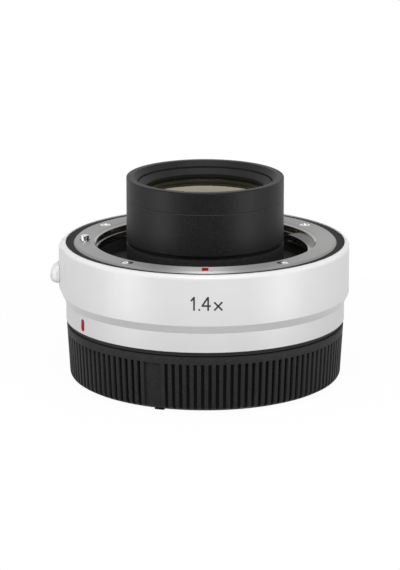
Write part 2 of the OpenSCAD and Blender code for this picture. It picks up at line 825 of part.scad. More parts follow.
module cap_groove(theta) {
    groove_top = (cap_h - rim_band) / cos(cap_taper);
    at(cap_base_r, theta)
        rotate([0, cap_taper, 0])
            translate([-groove_depth, -groove_w / 2, 0])
                cube([groove_depth + over, groove_w, groove_top]);
}

module cap_panel() {
    panel_top = cap_h - rim_band;
    rotate(panel_theta - 90 - panel_span / 2)
        rotate_extrude(angle = panel_span)
            polygon([
                [cap_side_r(panel_z) - panel_depth, panel_z], [cap_side_r(panel_z) + over, panel_z],
                [cap_side_r(panel_top) + over, panel_top], [cap_side_r(panel_top) - panel_depth, panel_top]
            ]);
}

module rear_cap() {
    groove_pitch = 360 / groove_count;
    panel_grooves = ceil(panel_span / groove_pitch / 2 - 0.5);
    cap_ring_r = lug_r + cap_play + bayonet_clear;
    cap_claw_z = lug_top + cap_play / 2;
    nub_theta = panel_theta + nub_turn;
    color(black)
        difference() {
            union() {
                rotate_extrude()
                    cap_section();
                ring(cap_ring_r, cap_ring_r + cap_ring_wall, cap_floor - fit, cap_h - cap_ring_drop);
                for (theta = claw_centres)
                    arc_block(tail_r + cap_play, cap_ring_r + cap_ring_wall / 2, cap_claw_z,
                        cap_claw_z + cap_claw_t, theta, cap_claw_span);
                arc_block(cap_foot_r, cap_base_r - nub_inset, nub_z, nub_z + nub_h,
                    nub_theta, arc(nub_w, cap_base_r));
            }
            for (i = [panel_grooves + 1 : groove_count - panel_grooves - 1])
                cap_groove(panel_theta + i * groove_pitch);
            cap_panel();
        }
}

// Rear mount: rubber seal, bayonet ring with tail and lugs, screws, light mask and contact block.
module rear_gasket() {
    color(dark_grey)
        ring(seal_in_r, seal_in_r + gasket_w, flange_z - gasket_proud, housing_z);
}

module rear_screw_places() {
    for (theta = rear_screw_thetas)
        at(rear_screw_circle_r, theta)
            translate([0, 0, flange_z + fit + mount_head_h])
                mirror([0, 0, 1])
                    children();
}

module rear_mount_ring() {
    notch_depth = lever_travel;
    color(silver)
        difference() {
            union() {
                rotate_extrude()
                    polygon([
                        [tail_in_r, tail_z], [tail_r, tail_z], [tail_r, flange_z], [rear_ring_r, flange_z],
                        [rear_ring_r, clamp_z], [rear_spigot_r, clamp_z], [rear_spigot_r, frame_z],
                        [tail_in_r, frame_z]
                    ]);
                for (i = [0 : len(claw_centres) - 1])
                    arc_block(tail_r - tail_wall / 2, lug_r, lug_z, lug_top,
                        claw_centres[i], claw_spans[i] - lug_margin);
            }
            rear_screw_places()
                mount_screw_hole(rear_clamped());
            at(pin_circle_r, lever_theta)
                post(pin_hole_r, flange_z - over, flange_z + notch_depth);
        }
}

function rear_clamped() = frame_z - flange_z - mount_head_h - fit;

module rear_mount_screws() {
    color(silver)
        rear_screw_places()
            mount_screw(rear_clamped());
}

module rear_light_mask() {
    color(black)
        difference() {
            union() {
                post(mask_r, mask_z, mask_z + mask_t);
                ring(mask_r - mask_skirt_wall, mask_r, mask_z, frame_z + mask_lip_t);
                ring(mask_r - mask_skirt_wall, mask_r + mask_lip_w, frame_z, frame_z + mask_lip_t);
            }
            translate([-window_w / 2, -window_h / 2, mask_z - over])
                cube([window_w, window_h, mask_t + 2 * over]);
            arc_block(rear_flex_r - fit, rear_flex_r + flex_t + fit, mask_z - over, mask_z + mask_t + over,
                contact_theta, arc(flex_w + 8 * fit, rear_flex_r));
            rear_contact_screw_places()
                small_screw_hole(rear_block_t - small_head_h);
        }
}

module rear_contact_screw_places() {
    rear_screw_turn = rear_block_span / 2 - arc(rear_ear_inset, rear_contact_circle_r);
    for (side = [-1, 1])
        at(rear_contact_circle_r, contact_theta + side * rear_screw_turn)
            translate([0, 0, rear_block_z + small_head_h])
                mirror([0, 0, 1])
                    children();
}

module rear_contact_places() {
    for (theta = contact_thetas)
        at(rear_contact_circle_r, theta)
            children();
}

module rear_contact_block() {
    color(black)
        difference() {
            arc_block(rear_block_in_r, rear_block_r, rear_block_z, mask_z, contact_theta, rear_block_span);
            rear_contact_places()
                post(rear_contact_r + fit, rear_block_z - over, rear_block_z + contact_pad_h);
            rear_contact_screw_places()
                small_screw_hole(rear_block_t - small_head_h);
        }
}

module rear_contact_pads() {
    color(gold)
        rear_contact_places()
            post(rear_contact_r, rear_block_z - contact_pad_proud, rear_block_z + contact_pad_h);
}

module rear_contact_screws() {
    color(silver)
        rear_contact_screw_places()
            small_screw(rear_block_t - small_head_h);
}

module rear_flex() {
    color(amber)
        arc_block(rear_flex_r, rear_flex_r + flex_t, mask_z, board_z,
            contact_theta, arc(flex_w, rear_flex_r));
}

// White housing: band, slope, body wall with a rounded lip, and the raised pad with the lever's slot.
module housing_section() {
    difference() {
        polygon([
            [lip_in_r, clamp_z], [seal_in_r, clamp_z], [seal_in_r, housing_z], [band_r, housing_z],
            [band_r, step_z], [body_r, slope_top], [body_r, lip_z], [trim_seat_r, lip_z],
            [trim_seat_r, trim_z], [shoulder_r, trim_z], [shoulder_r, shoulder_z],
            [body_in_r, shoulder_z], [body_in_r, slope_top], [band_in_r, step_z],
            [band_in_r, frame_z], [lip_in_r, frame_z]
        ]);
        top_corner_cut(body_r, lip_z, lip_round);
    }
}

// The pad swells out of the wall on its own curve, and the slope runs on up to its foot.
module lever_pad() {
    pitch = slope_h / band_inset;
    root = wall / 2;
    foot = 0.2;
    foot_z = pad_z + (pad_rise - foot) * pitch;
    intersection() {
        rotate_extrude()
            difference() {
                polygon([
                    [body_r - root, pad_z - root * pitch], [pad_r - foot, foot_z],
                    [pad_r, foot_z + 2 * foot * pitch], [pad_r, pad_z + pad_h], [body_r - root, pad_z + pad_h]
                ]);
                top_corner_cut(pad_r, pad_z + pad_h, pad_round);
            }
        at(pad_r - pad_curve_r, lever_theta)
            post(pad_curve_r, step_z - over, lip_z + over);
    }
}

module lever_slot() {
    slot_w = neck_w + 2 * lever_gap;
    slot_h = neck_h + lever_travel + 2 * lever_gap;
    outwards(lever_theta, body_in_r - over, pad_r + over)
        translate([-slot_w / 2, neck_z - lever_travel - lever_gap])
            square([slot_w, slot_h]);
}

// Paint-filled line on the lower band, with rounded ends.
module rear_mark_shape(clear) {
    mark_r = rear_mark_w / 2 + clear;
    z0 = housing_z + rear_mark_rise;
    intersection() {
        ring(band_r - mark_depth - clear, band_r + 10 * clear, housing_z, step_z);
        outwards(rear_mark_theta, band_r - over, band_r + over)
            translate([0, z0 - clear])
                rounded_plate(2 * mark_r, rear_mark_h + 2 * clear, mark_r * 0.98);
    }
}

module housing_shell() {
    color(white)
        difference() {
            union() {
                rotate_extrude()
                    housing_section();
                lever_pad();
                for (side = [-1, 1])
                    arc_block(slide_in_r - fit, body_in_r + wall / 2, pad_z, shoulder_z + shoulder_t / 2,
                        lever_theta + side * arc(slide_w / 2 + guide_gap + guide_w / 2, slide_r),
                        arc(guide_w, slide_r));
            }
            lever_slot();
            rear_mark_shape(paint_fit);
        }
}

module rear_index_mark() {
    color(red)
        rear_mark_shape(0);
}

boss_wall = 0.9;
boss_floor = 0.8;

// Cast frame: wall, two flanges, deck, screw bosses, board standoffs and posts for the lock plate.
module front_screw_places() {
    for (theta = front_screw_thetas)
        at(front_screw_circle_r, theta)
            translate([0, 0, face_z - fit - mount_head_h])
                children();
}

front_clamped = front_ring_t - mount_head_h - fit;

module barrel_screw_places() {
    for (theta = [0, 120, 240])
        at(barrel_screw_r, theta)
            translate([0, 0, deck_z + small_head_h + fit])
                mirror([0, 0, 1])
                    children();
}

barrel_clamped = deck_t - small_head_h - fit;

module cell_screw_places() {
    for (theta = [60, 180, 300])
        at(cell_screw_r, theta)
            translate([0, 0, cell_seat_z + small_head_h])
                mirror([0, 0, 1])
                    children();
}

cell_clamped = cell_flange_t - small_head_h;

module board_screw_places() {
    for (theta = board_screw_thetas)
        at(board_screw_r, theta)
            translate([0, 0, board_z])
                mirror([0, 0, 1])
                    children();
}

module contact_screw_places() {
    for (side = [-1, 1])
        at(contact_circle_r, contact_theta + side * contact_ear_theta)
            translate([0, 0, deck_top + ear_t - small_head_h])
                children();
}

module lock_plate_screw_places() {
    for (side = [-1, 1])
        at(lock_post_circle_r, lever_theta + side * lock_post_theta)
            translate([0, 0, lock_plate_z + lock_plate_t])
                children();
}

module main_frame() {
    boss_r = mount_shank_r + boss_wall;
    rear_boss_h = mount_bite + rear_clamped() + boss_floor;
    rib_l = frame_flange_r - frame_out_r - frame_gap;
    rib_thetas = [15, 75, 100, 155, -155, -15];
    color(dark_grey)
        difference() {
            union() {
                ring(frame_in_r, frame_out_r, frame_z, seat_z);
                ring(frame_in_r, frame_flange_r - 4 * fit, top_flange_z, seat_z);
                ring(frame_in_r - frame_wall / 2, frame_flange_r, frame_z, flange_floor);
                ring(frame_bore_r, frame_flange_r, frame_z, frame_z + mask_lip_t);
                ring(deck_bore_r, frame_out_r - frame_wall / 2, deck_z, deck_top);
                for (theta = front_screw_thetas)
                    at(front_screw_circle_r, theta)
                        post(boss_r, seat_z - front_clamped - mount_bite, seat_z - top_flange_t / 2);
                for (theta = rear_screw_thetas)
                    at(rear_screw_circle_r, theta)
                        post(boss_r, frame_z + bottom_flange_t / 2, flange_z + mount_head_h + rear_boss_h);
                for (theta = rib_thetas)
                    turned(theta)
                        translate([frame_out_r - frame_wall / 2, -rib_t / 2, flange_floor - fit])
                            cube([rib_l, rib_t, top_flange_z - flange_floor + 2 * fit]);
                for (theta = board_screw_thetas)
                    at(board_screw_r, theta)
                        post(standoff_r, board_top, deck_z + deck_t / 2);
                for (side = [-1, 1])
                    at(lock_post_circle_r, lever_theta + side * lock_post_theta)
                        post(lock_post_r, flange_floor - fit, lock_plate_z);
            }
            ring(frame_in_r - over, frame_in_r + frame_wall / 2 + fit, seat_z - leaf_t, seat_z + over);
            arc_block(comb_in_r - 2 * fit, contact_circle_r + 2 * finger_over, deck_z - over, deck_top + over,
                contact_theta, contact_span - arc(contact_margin / 2, contact_circle_r));
            at(pin_circle_r, lever_theta) {
                post(pin_r + fit, top_flange_z - over, seat_z + over);
                post(collar_r + lever_gap, lock_plate_z, top_flange_z);
            }
            at(pin_circle_r, lever_theta + lever_spring_turn)
                post(coil_r + wire_r + lever_gap, lock_plate_z, top_flange_z);
            front_screw_places()
                mount_screw_hole(front_clamped);
            rear_screw_places()
                mount_screw_hole(rear_clamped());
            barrel_screw_places()
                small_screw_hole(barrel_clamped);
            cell_screw_places()
                small_screw_hole(cell_clamped);
            board_screw_places()
                small_screw_hole(board_t);
            contact_screw_places()
                small_screw_hole(ear_t - small_head_h);
            lock_plate_screw_places()
                small_screw_hole(lock_plate_t);
        }
}

// Circuit board hung under the deck, with its chips and screws.
module circuit_board() {
    color(green)
        difference() {
            ring(board_in_r, board_r, board_z, board_top);
            board_screw_places()
                small_screw_hole(board_t);
        }
}

module board_chips() {
    memory_w = 3;
    color(black) {
        for (theta = [60, -60])
            at((board_in_r + board_r) / 2, theta)
                translate([-chip_w / 2, -chip_w / 2, board_top])
                    cube([chip_w, chip_w, chip_h]);
        for (theta = [85, 150, -150])
            at((board_in_r + board_r) / 2, theta)
                translate([-memory_w / 2, -chip_w / 2, board_top])
                    cube([memory_w, chip_w, chip_h * 0.8]);
    }
}

module board_screws() {
    color(silver)
        board_screw_places()
            small_screw(board_t);
}

// Rear lens cell under the deck: two single lenses, a spacer and a threaded retainer.
module rear_cell() {
    color(black)
        difference() {
            union() {
                ring(rear_lens_r + fit, cell_r, cell_z, deck_z);
                ring(rear_seat_r, cell_flange_r, cell_seat_z, deck_z);
            }
            cell_screw_places()
                small_screw_hole(cell_clamped);
        }
}

module rear_cell_screws() {
    color(silver)
        cell_screw_places()
            small_screw(cell_clamped);
}

module lens_6() {
    color(glass)
        lens(rear_lens_r, lens_6_bottom, lens_6_top, -bulge_6_rear, rear_seat_r, -bulge_6_front, rear_seat_r);
}

module rear_spacer() {
    color(black)
        ring(rear_seat_r, rear_lens_r, rear_spacer_z, rear_spacer_z + rear_spacer_t);
}

module lens_7() {
    color(glass)
        lens(rear_lens_r, lens_7_bottom, lens_7_top,
            bulge_7_rear, rear_seat_r - fit, bulge_7_front, rear_seat_r - fit);
}

module rear_retainer() {
    color(black)
        ring(rear_seat_r, rear_lens_r, rear_retainer_z, rear_retainer_z + rear_retainer_t);
}

// Front barrel on the deck: a cemented triplet below its web, a cemented pair above it, and the hood ring.
module front_barrel() {
    color(black)
        difference() {
            rotate_extrude()
                polygon([
                    [middle_lens_r + fit, deck_top], [barrel_neck_r, deck_top],
                    [barrel_neck_r, barrel_shoulder_z], [barrel_r - hood_round, barrel_shoulder_z],
                    [barrel_r, barrel_shoulder_z + hood_round], [barrel_r, seam_z - seam_bevel],
                    [barrel_r - seam_bevel, seam_z], [spigot_r, seam_z], [spigot_r, seam_z + spigot_h],
                    [front_lens_r + fit, seam_z + spigot_h], [front_lens_r + fit, front_seat_z],
                    [middle_seat_r, front_seat_z], [middle_seat_r, middle_seat_z],
                    [middle_lens_r + fit, middle_seat_z]
                ]);
            barrel_screw_places()
                small_screw_hole(barrel_clamped);
        }
}

module barrel_screws() {
    color(silver)
        barrel_screw_places()
            small_screw(barrel_clamped);
}

module lens_1() {
    color(glass)
        lens(front_lens_r, lens_1_bottom, lens_1_top, bulge_1_2, front_a, bulge_front, front_a);
}

module lens_2() {
    color(glass)
        lens(front_lens_r, lens_2_bottom, lens_2_top, -bulge_2, front_seat_r, -bulge_1_2, front_a);
}

module lens_3() {
    color(glass)
        lens(middle_lens_r, lens_3_bottom, lens_3_top, bulge_3_4, middle_a, bulge_3, middle_seat_r - fit);
}

module lens_4() {
    color(glass)
        lens(middle_lens_r, lens_4_bottom, lens_4_top, -bulge_4_5, middle_a, -bulge_3_4, middle_a);
}

module lens_5() {
    color(glass)
        lens(middle_lens_r, lens_5_bottom, lens_5_top, bulge_5, middle_seat_r - fit, bulge_4_5, middle_a);
}

module middle_retainer() {
    color(black)
        ring(middle_seat_r, middle_lens_r, middle_retainer_z, middle_retainer_z + middle_retainer_t);
}

module front_retainer() {
    color(black)
        rotate_extrude()
            polygon([
                [front_aperture_r, retainer_z], [front_lens_r, retainer_z], [front_lens_r, retainer_step_z],
                [retainer_r, retainer_step_z], [retainer_r, retainer_top - 2 * fit],
                [retainer_r - 2 * fit, retainer_top], [front_aperture_r + 4 * fit, retainer_top - cone_depth],
                [front_aperture_r, retainer_top - cone_depth]
            ]);
}

module hood_ring() {
    color(black)
        rotate_extrude()
            difference() {
                polygon([
                    [spigot_r + fit, seam_z], [barrel_r - seam_bevel, seam_z],
                    [barrel_r, seam_z + seam_bevel],
                    [barrel_r, barrel_top], [mouth_r, barrel_top], [mouth_in_r, barrel_top - mouth_depth],
                    [mouth_in_r, seam_z + spigot_h + fit], [spigot_r + fit, seam_z + spigot_h + fit]
                ]);
                top_corner_cut(barrel_r, barrel_top, hood_round);
            }
}

// Throat: black liner with a collar round the barrel, and the sprung contact block at its back.
module throat_liner() {
    wall_top = seat_z - leaf_t - leaf_span * sin(leaf_tilt) / 4;
    color(black)
        difference() {
            union() {
                ring(liner_collar_in_r, liner_r, deck_top, floor_z);
                ring(liner_collar_in_r, liner_collar_r, deck_top, face_z - collar_drop);
                ring(liner_r - liner_wall, liner_r, deck_top, wall_top);
            }
            arc_block(contact_block_in_r - 2 * fit, contact_block_r + 2 * fit,
                deck_top - over, floor_z + over,
                contact_theta, contact_span + ear_span + arc(8 * fit, contact_circle_r));
        }
}

module contact_places() {
    for (theta = contact_thetas)
        at(contact_circle_r, theta)
            children();
}

module front_contact_block() {
    color(black)
        difference() {
            union() {
                arc_block(contact_block_in_r, contact_block_r, deck_top, contact_top,
                    contact_theta, contact_span);
                arc_block(contact_block_in_r + ear_inset, contact_block_r - ear_inset,
                    deck_top, deck_top + ear_t, contact_theta, contact_span + ear_span);
            }
            contact_places() {
                post(contact_r + fit, deck_top - over, contact_top + over);
                post(contact_collar_r + fit, deck_top - over, contact_step_z);
            }
            contact_screw_places()
                small_screw_hole(ear_t - small_head_h);
        }
}

module front_contact_screws() {
    color(silver)
        contact_screw_places()
            small_screw(ear_t - small_head_h);
}

module contact_pins() {
    tip_h = 0.2;
    pin_collar_t = 0.5;
    color(gold)
        contact_places() {
            post(contact_r, deck_top + fit, contact_top + contact_out - tip_h);
            translate([0, 0, contact_top + contact_out - tip_h])
                cylinder(r1 = contact_r, r2 = contact_r / 2, h = tip_h);
            post(contact_collar_r, contact_step_z - fit - pin_collar_t, contact_step_z - fit);
        }
}

module contact_spring_comb() {
    finger_l = comb_reach + finger_over;
    color(gold) {
        arc_block(comb_in_r, comb_in_r + comb_strip_w, deck_top - comb_t, deck_top,
            contact_theta, contact_span - arc(2 * contact_margin, contact_circle_r));
        for (theta = contact_thetas)
            turned(theta)
                translate([comb_in_r + comb_strip_w / 2, -finger_w / 2, deck_top - comb_t])
                    cube([finger_l - comb_strip_w / 2, finger_w, comb_t]);
    }
}

module front_flex() {
    color(amber)
        arc_block(front_flex_r, front_flex_r + flex_t, board_top, deck_top - comb_t,
            contact_theta, arc(flex_w, front_flex_r));
}

// Front mount: leaf spring, bayonet ring with claws, screws, index mark and the black trim ring.
module bayonet_spring() {
    bridge_span = 6;
    leaf_w = 1.1;
    leaf_inset = 0.1;
    leaf_r = ledge_r - 2 * fit;
    spring_lap = 0.25;
    root_lap = 1;
    leaf_in_r = leaf_r - leaf_w;
    spring_z = seat_z - leaf_t;
    color(silver) {
        ring(ledge_r + spring_lap, frame_in_r + frame_wall / 2, spring_z, seat_z);
        for (theta = claw_centres) {
            arc_block(leaf_in_r, ledge_r + 2 * spring_lap, spring_z, seat_z,
                theta - spring_root_back, bridge_span);
            translate([0, 0, spring_z])
                turned(theta - spring_root_back + bridge_span / 2 - root_lap)
                    rotate([-leaf_tilt, 0, 0])
                        rotate_extrude(angle = leaf_span)
                            translate([leaf_in_r + leaf_inset, 0])
                                square([leaf_w - leaf_inset, leaf_t]);
        }
    }
}

module front_ring_section() {
    polygon([
        [ledge_r, seat_z], [front_ring_r, seat_z], [front_ring_r, face_z - ring_bevel],
        [front_ring_r - ring_bevel, face_z], [throat_r + throat_bevel, face_z],
        [throat_r, face_z - throat_bevel], [throat_r, claw_z], [ledge_r, claw_z]
    ]);
}

module front_mark_shape(clear) {
    mark_margin = 0.8;
    mark_r0 = throat_r + throat_bevel + mark_margin;
    turned(0)
        translate([mark_r0 - clear, -mark_w / 2 - clear, face_z - mark_depth - clear])
            cube([mark_l + 2 * clear, mark_w + 2 * clear, mark_depth - paint_fit + over * clear / paint_fit]);
}

module front_mount_ring() {
    color(silver)
        difference() {
            union() {
                rotate_extrude()
                    front_ring_section();
                for (i = [0 : len(claw_centres) - 1])
                    arc_block(claw_r, throat_r + fit, seat_z, claw_z, claw_centres[i], claw_spans[i]);
            }
            front_screw_places()
                mount_screw_hole(front_clamped);
            at(pin_circle_r, lever_theta)
                post(pin_hole_r, seat_z - over, face_z + over);
            front_mark_shape(paint_fit);
        }
}

module front_mount_screws() {
    color(silver)
        front_screw_places()
            mount_screw(front_clamped);
}

module front_index_mark() {
    color(red)
        front_mark_shape(0);
}

module front_trim_ring() {
    color(dark_grey)
        ring(trim_in_r, trim_r, trim_z, trim_z + trim_t);
}

// Release lever: knob on the pad, slide behind the wall with a fork over the lock pin's collar.
module knob_section() {
    knob_top = knob_z + knob_h;
    difference() {
        polygon([
            [body_r, knob_z], [knob_r, knob_z], [knob_r, knob_z + knob_face_h],
            [knob_in_r + knob_edge, knob_top], [body_r, knob_top]
        ]);
        translate([knob_r - knob_round, knob_z + knob_round])
            rotate(-90)
                difference() {
                    square(knob_round + over);
                    circle(knob_round);
                }
    }
}

module knob_body() {
    slope = atan((knob_h - knob_face_h) / (knob_r - knob_in_r));
    difference() {
        intersection() {
            turned(lever_theta)
                rotate([90, 0, 0])
                    translate([0, 0, -knob_w / 2])
                        linear_extrude(knob_w)
                            knob_section();
            outwards(lever_theta, body_r - over, knob_r + over)
                translate([0, knob_z])
                    rounded_plate(knob_w, knob_h, knob_corner);
        }
        at(pad_r - pad_curve_r, lever_theta)
            post(pad_curve_r + lever_gap, knob_z - over, knob_z + knob_h + over);
        at((knob_r + knob_in_r) / 2, lever_theta)
            translate([
                (dish_r - dish_depth) * sin(slope), 0,
                knob_z + (knob_h + knob_face_h) / 2 + (dish_r - dish_depth) * cos(slope)
            ])
                sphere(dish_r);
    }
}

lever_clamped = slide_t - small_head_h + 2 * lever_gap;

module lever_screw_places() {
    for (side = [-1, 1])
        turned(lever_theta)
            translate([slide_in_r + small_head_h, side * neck_w / 4, neck_z + neck_h / 2])
                rotate([0, -90, 0])
                    children();
}

module lever_knob() {
    color(white)
        difference() {
            union() {
                knob_body();
                intersection() {
                    outwards(lever_theta, slide_in_r, knob_in_r + lever_gap)
                        translate([-neck_w / 2, neck_z])
                            square([neck_w, neck_h]);
                    ring(slide_r, knob_r, knob_z, knob_z + knob_h);
                }
            }
            lever_screw_places()
                small_screw_hole(lever_clamped);
        }
}

module lever_slide() {
    slot_w = 2 * (pin_r + lever_gap);
    color(dark_grey)
        difference() {
            union() {
                arc_block(slide_in_r, slide_r, slide_z, slide_top, lever_theta, slide_span);
                arc_block(arm_in_r, slide_r - slide_t / 2, arm_z, slide_top, lever_theta, slide_span);
            }
            at(pin_circle_r, lever_theta) {
                post(pin_r + lever_gap, arm_z - over, slide_top + over);
                translate([-over - pin_circle_r + arm_in_r, -slot_w / 2, arm_z - over])
                    cube([pin_circle_r - arm_in_r + over, slot_w, arm_t + 2 * over]);
            }
            lever_screw_places()
                small_screw_hole(lever_clamped);
        }
}

module lever_screws() {
    color(silver)
        lever_screw_places()
            small_screw(lever_clamped);
}

module lock_pin() {
    tip = 0.25;
    pin_top = face_z + pin_out;
    color(silver)
        at(pin_circle_r, lever_theta) {
            post(pin_r, collar_z, pin_top - tip);
            translate([0, 0, pin_top - tip])
                cylinder(r1 = pin_r, r2 = pin_r - tip, h = tip);
            post(collar_r, collar_z, collar_z + collar_t);
            post(pin_tail_r, lock_plate_z - lever_gap, collar_z + collar_t / 2);
        }
}

module lock_pin_spring() {
    color(silver)
        at(pin_circle_r, lever_theta)
            coil_spring(lock_plate_z + lock_plate_t + fit, collar_z - fit);
}

module lever_spring() {
    color(silver)
        at(pin_circle_r, lever_theta + lever_spring_turn)
            coil_spring(lock_plate_z + lock_plate_t + fit, arm_z - fit);
}

module lock_plate() {
    color(silver)
        difference() {
            union() {
                arc_block(lock_plate_in_r, lock_plate_r, lock_plate_z, lock_plate_z + lock_plate_t,
                    lever_theta, lock_plate_span);
                at(pin_circle_r, lever_theta + lever_spring_turn)
                    post(peg_r, lock_plate_z, lock_plate_z + lock_plate_t + peg_h);
            }
            at(pin_circle_r, lever_theta)
                post(pin_tail_r + fit, lock_plate_z - over, lock_plate_z + lock_plate_t + over);
            lock_plate_screw_places()
                small_screw_hole(lock_plate_t);
        }
}

module lock_plate_screws() {
    color(silver)
        lock_plate_screw_places()
            small_screw(lock_plate_t);
}

rear_cap();
rear_gasket();
rear_mount_ring();
rear_mount_screws();
rear_light_mask();
rear_contact_block();
rear_contact_pads();
rear_contact_screws();
rear_flex();
housing_shell();
rear_index_mark();
main_frame();
circuit_board();
board_chips();
board_screws();
rear_cell();
rear_cell_screws();
lens_7();
rear_spacer();
lens_6();
rear_retainer();
front_barrel();
barrel_screws();
lens_1();
lens_2();
lens_3();
lens_4();
lens_5();
middle_retainer();
front_retainer();
hood_ring();
throat_liner();
front_contact_block();
front_contact_screws();
contact_pins();
contact_spring_comb();
front_flex();
bayonet_spring();
front_mount_ring();
front_mount_screws();
front_index_mark();
front_trim_ring();
lever_knob();
lever_slide();
lever_screws();
lever_spring();
lock_pin();
lock_pin_spring();
lock_plate();
lock_plate_screws();
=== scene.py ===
from math import atan, atan2, cos, pi, radians, sin, tan

import bmesh
import bpy
from mathutils import Matrix, Vector


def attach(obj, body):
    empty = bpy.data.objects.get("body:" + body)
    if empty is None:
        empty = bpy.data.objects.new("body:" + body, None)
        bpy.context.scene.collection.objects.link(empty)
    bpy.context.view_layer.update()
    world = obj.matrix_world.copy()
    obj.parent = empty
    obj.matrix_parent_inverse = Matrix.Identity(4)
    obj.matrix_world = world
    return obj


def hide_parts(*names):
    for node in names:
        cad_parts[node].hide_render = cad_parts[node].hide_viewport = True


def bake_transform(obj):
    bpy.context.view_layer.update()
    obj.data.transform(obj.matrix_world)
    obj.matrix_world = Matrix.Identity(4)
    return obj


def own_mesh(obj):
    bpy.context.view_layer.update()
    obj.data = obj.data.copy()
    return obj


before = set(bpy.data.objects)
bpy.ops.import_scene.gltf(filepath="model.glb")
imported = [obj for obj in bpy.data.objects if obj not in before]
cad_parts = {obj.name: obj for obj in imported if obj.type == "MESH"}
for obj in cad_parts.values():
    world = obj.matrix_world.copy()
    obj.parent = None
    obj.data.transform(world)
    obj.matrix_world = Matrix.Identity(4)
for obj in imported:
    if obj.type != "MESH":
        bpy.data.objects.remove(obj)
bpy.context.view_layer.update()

# Rear dust cap: a push-and-turn cover moulded in black ABS, with square-cut grip grooves all round,
# one smooth index panel and a pointer nub at its foot. Three inner claws hold the rear bayonet.
mm = 0.001
cap_h = 14.5
cap_foot_r = 33.45
cap_rim_r = 34.3
cap_wall = 2.2
cap_floor = 1.8
foot_round = 1.5
sweep_r = 8.0
flat_r = 28.5
rim_round = 0.3
rim_ease = 0.09
floor_disc_r = 24.0
rib_pitch = 3.0
groove_w = 0.8
groove_depth = 0.8
groove_top = 12.55
rib_edge = 0.12
panel_at = -22.0
panel_span = 7.4
panel_depth = 0.55
panel_sector = 9.0
nub_turn = 1.7
nub_r = 30.7
nub_z = 0.8
nub_size = (2.6, 2.4, 1.0)
nub_edge = 0.15
skirt_r = (27.15, 28.55)
skirt_z = (1.75, 14.3)
claw_r = (25.5, 27.85)
claw_z = (11.65, 13.05)
claw_at = (98, 198, -22)
claw_span = 24


def linear(code):
    """Linear RGBA of an sRGB hex colour."""
    parts = [int(code[i:i + 2], 16) / 255 for i in (1, 3, 5)]
    return [c / 12.92 if c <= 0.04045 else ((c + 0.055) / 1.055) ** 2.4 for c in parts] + [1.0]


def new_finish(name):
    """A node material with nothing in it yet."""
    finish = bpy.data.materials.new(name)
    finish.use_nodes = True
    finish.node_tree.nodes.clear()
    return finish


def add(finish, kind, inputs=None, **settings):
    """Adds a node with its settings; each input is a value, or the output that is linked to it."""
    node = finish.node_tree.nodes.new("ShaderNode" + kind)
    for name, value in settings.items():
        setattr(node, name, value)
    for name, value in (inputs or {}).items():
        if isinstance(value, bpy.types.NodeSocket):
            finish.node_tree.links.new(value, node.inputs[name])
        else:
            node.inputs[name].default_value = value
    return node


def turn(bm, outline, theta, span, steps):
    """Spins an open or closed outline of (radius, height) in mm about Z, from theta; 0 is the front."""
    start = Matrix.Rotation(radians(theta - 90), 3, "Z")
    verts = [bm.verts.new(start @ Vector((r * mm, 0, z * mm))) for r, z in outline]
    edges = [bm.edges.new(pair) for pair in zip(verts, verts[1:])]
    full = abs(span - 360) < 1e-6
    bmesh.ops.spin(bm, geom=verts + edges, cent=(0, 0, 0), axis=(0, 0, 1), dvec=(0, 0, 0),
                   angle=radians(span), steps=steps, use_merge=full, use_duplicate=False)


def weld(bm, reach=0.001):
    """Merges vertices that are within a reach in mm of each other."""
    bmesh.ops.remove_doubles(bm, verts=bm.verts, dist=reach * mm)


def piece(bm, name, finish, slot, body, *nodes, sharp=32):
    """Makes the finished mesh an object that rides its body, if it has one, in place of its solids."""
    weld(bm)
    bmesh.ops.recalc_face_normals(bm, faces=bm.faces)
    mesh = bpy.data.meshes.new(name)
    for face in bm.faces:
        face.smooth = True
    bm.to_mesh(mesh)
    bm.free()
    mesh.set_sharp_from_angle(angle=radians(sharp))
    mesh.materials.append(finish)
    made = bpy.data.objects.new(name, mesh)
    bpy.context.scene.collection.objects.link(made)
    if body:
        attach(made, body)
    if nodes:
        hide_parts(*nodes)
    return made


# Moulded ABS, spark-eroded tool: a dense matte black with an even grain and a soft, broad sheen. The groove
# floors are darkened to near black as painted shade, so the rib tops stand out grey against them. The real
# grain is too fine to show, so it is drawn 0.34 mm wide.
# Depths below the drafted side, in mm, where the painted shade of the groove floors begins and is full.
groove_shade_from = 0.5
groove_shade_full = 0.76
side_only = 1.5
moulded_abs = new_finish("moulded_black_abs")
place = add(moulded_abs, "TexCoord").outputs["Object"]
grain = add(moulded_abs, "TexNoise", {"Vector": place, "Scale": 1 / (0.34 * mm), "Detail": 3.0})
bloom = add(moulded_abs, "TexNoise", {"Vector": place, "Scale": 1 / (9 * mm), "Detail": 4.0})
way = add(moulded_abs, "SeparateXYZ", {"Vector": place})
out = add(moulded_abs, "VectorMath", {0: place, 1: (1, 1, 0)}, operation="MULTIPLY")
out = add(moulded_abs, "VectorMath", {0: out.outputs["Vector"]}, operation="LENGTH")
side = add(moulded_abs, "MapRange", {"Value": way.outputs["Z"], "From Max": cap_h * mm,
                                     "To Min": cap_foot_r * mm, "To Max": cap_rim_r * mm})
depth = add(moulded_abs, "Math", {0: side.outputs["Result"], 1: out.outputs["Value"]}, operation="SUBTRACT")
inner = add(moulded_abs, "Math", {0: depth.outputs["Value"], 1: side_only * mm}, operation="LESS_THAN")
# Painted shade mask: groove floors deep below the drafted side get the dark of the shade in the grooves.
painted_groove_shade = add(moulded_abs, "MapRange", {"Value": depth.outputs["Value"], "From Min": groove_shade_from * mm,
                                     "From Max": groove_shade_full * mm, "To Max": inner.outputs["Value"]})
speck = add(moulded_abs, "MapRange", {"Value": grain.outputs["Fac"], "From Min": 0.35, "From Max": 0.65})
tone = add(moulded_abs, "MixRGB", {"Fac": speck.outputs["Result"], "Color1": linear("#242425"),
                                   "Color2": linear("#333334")})
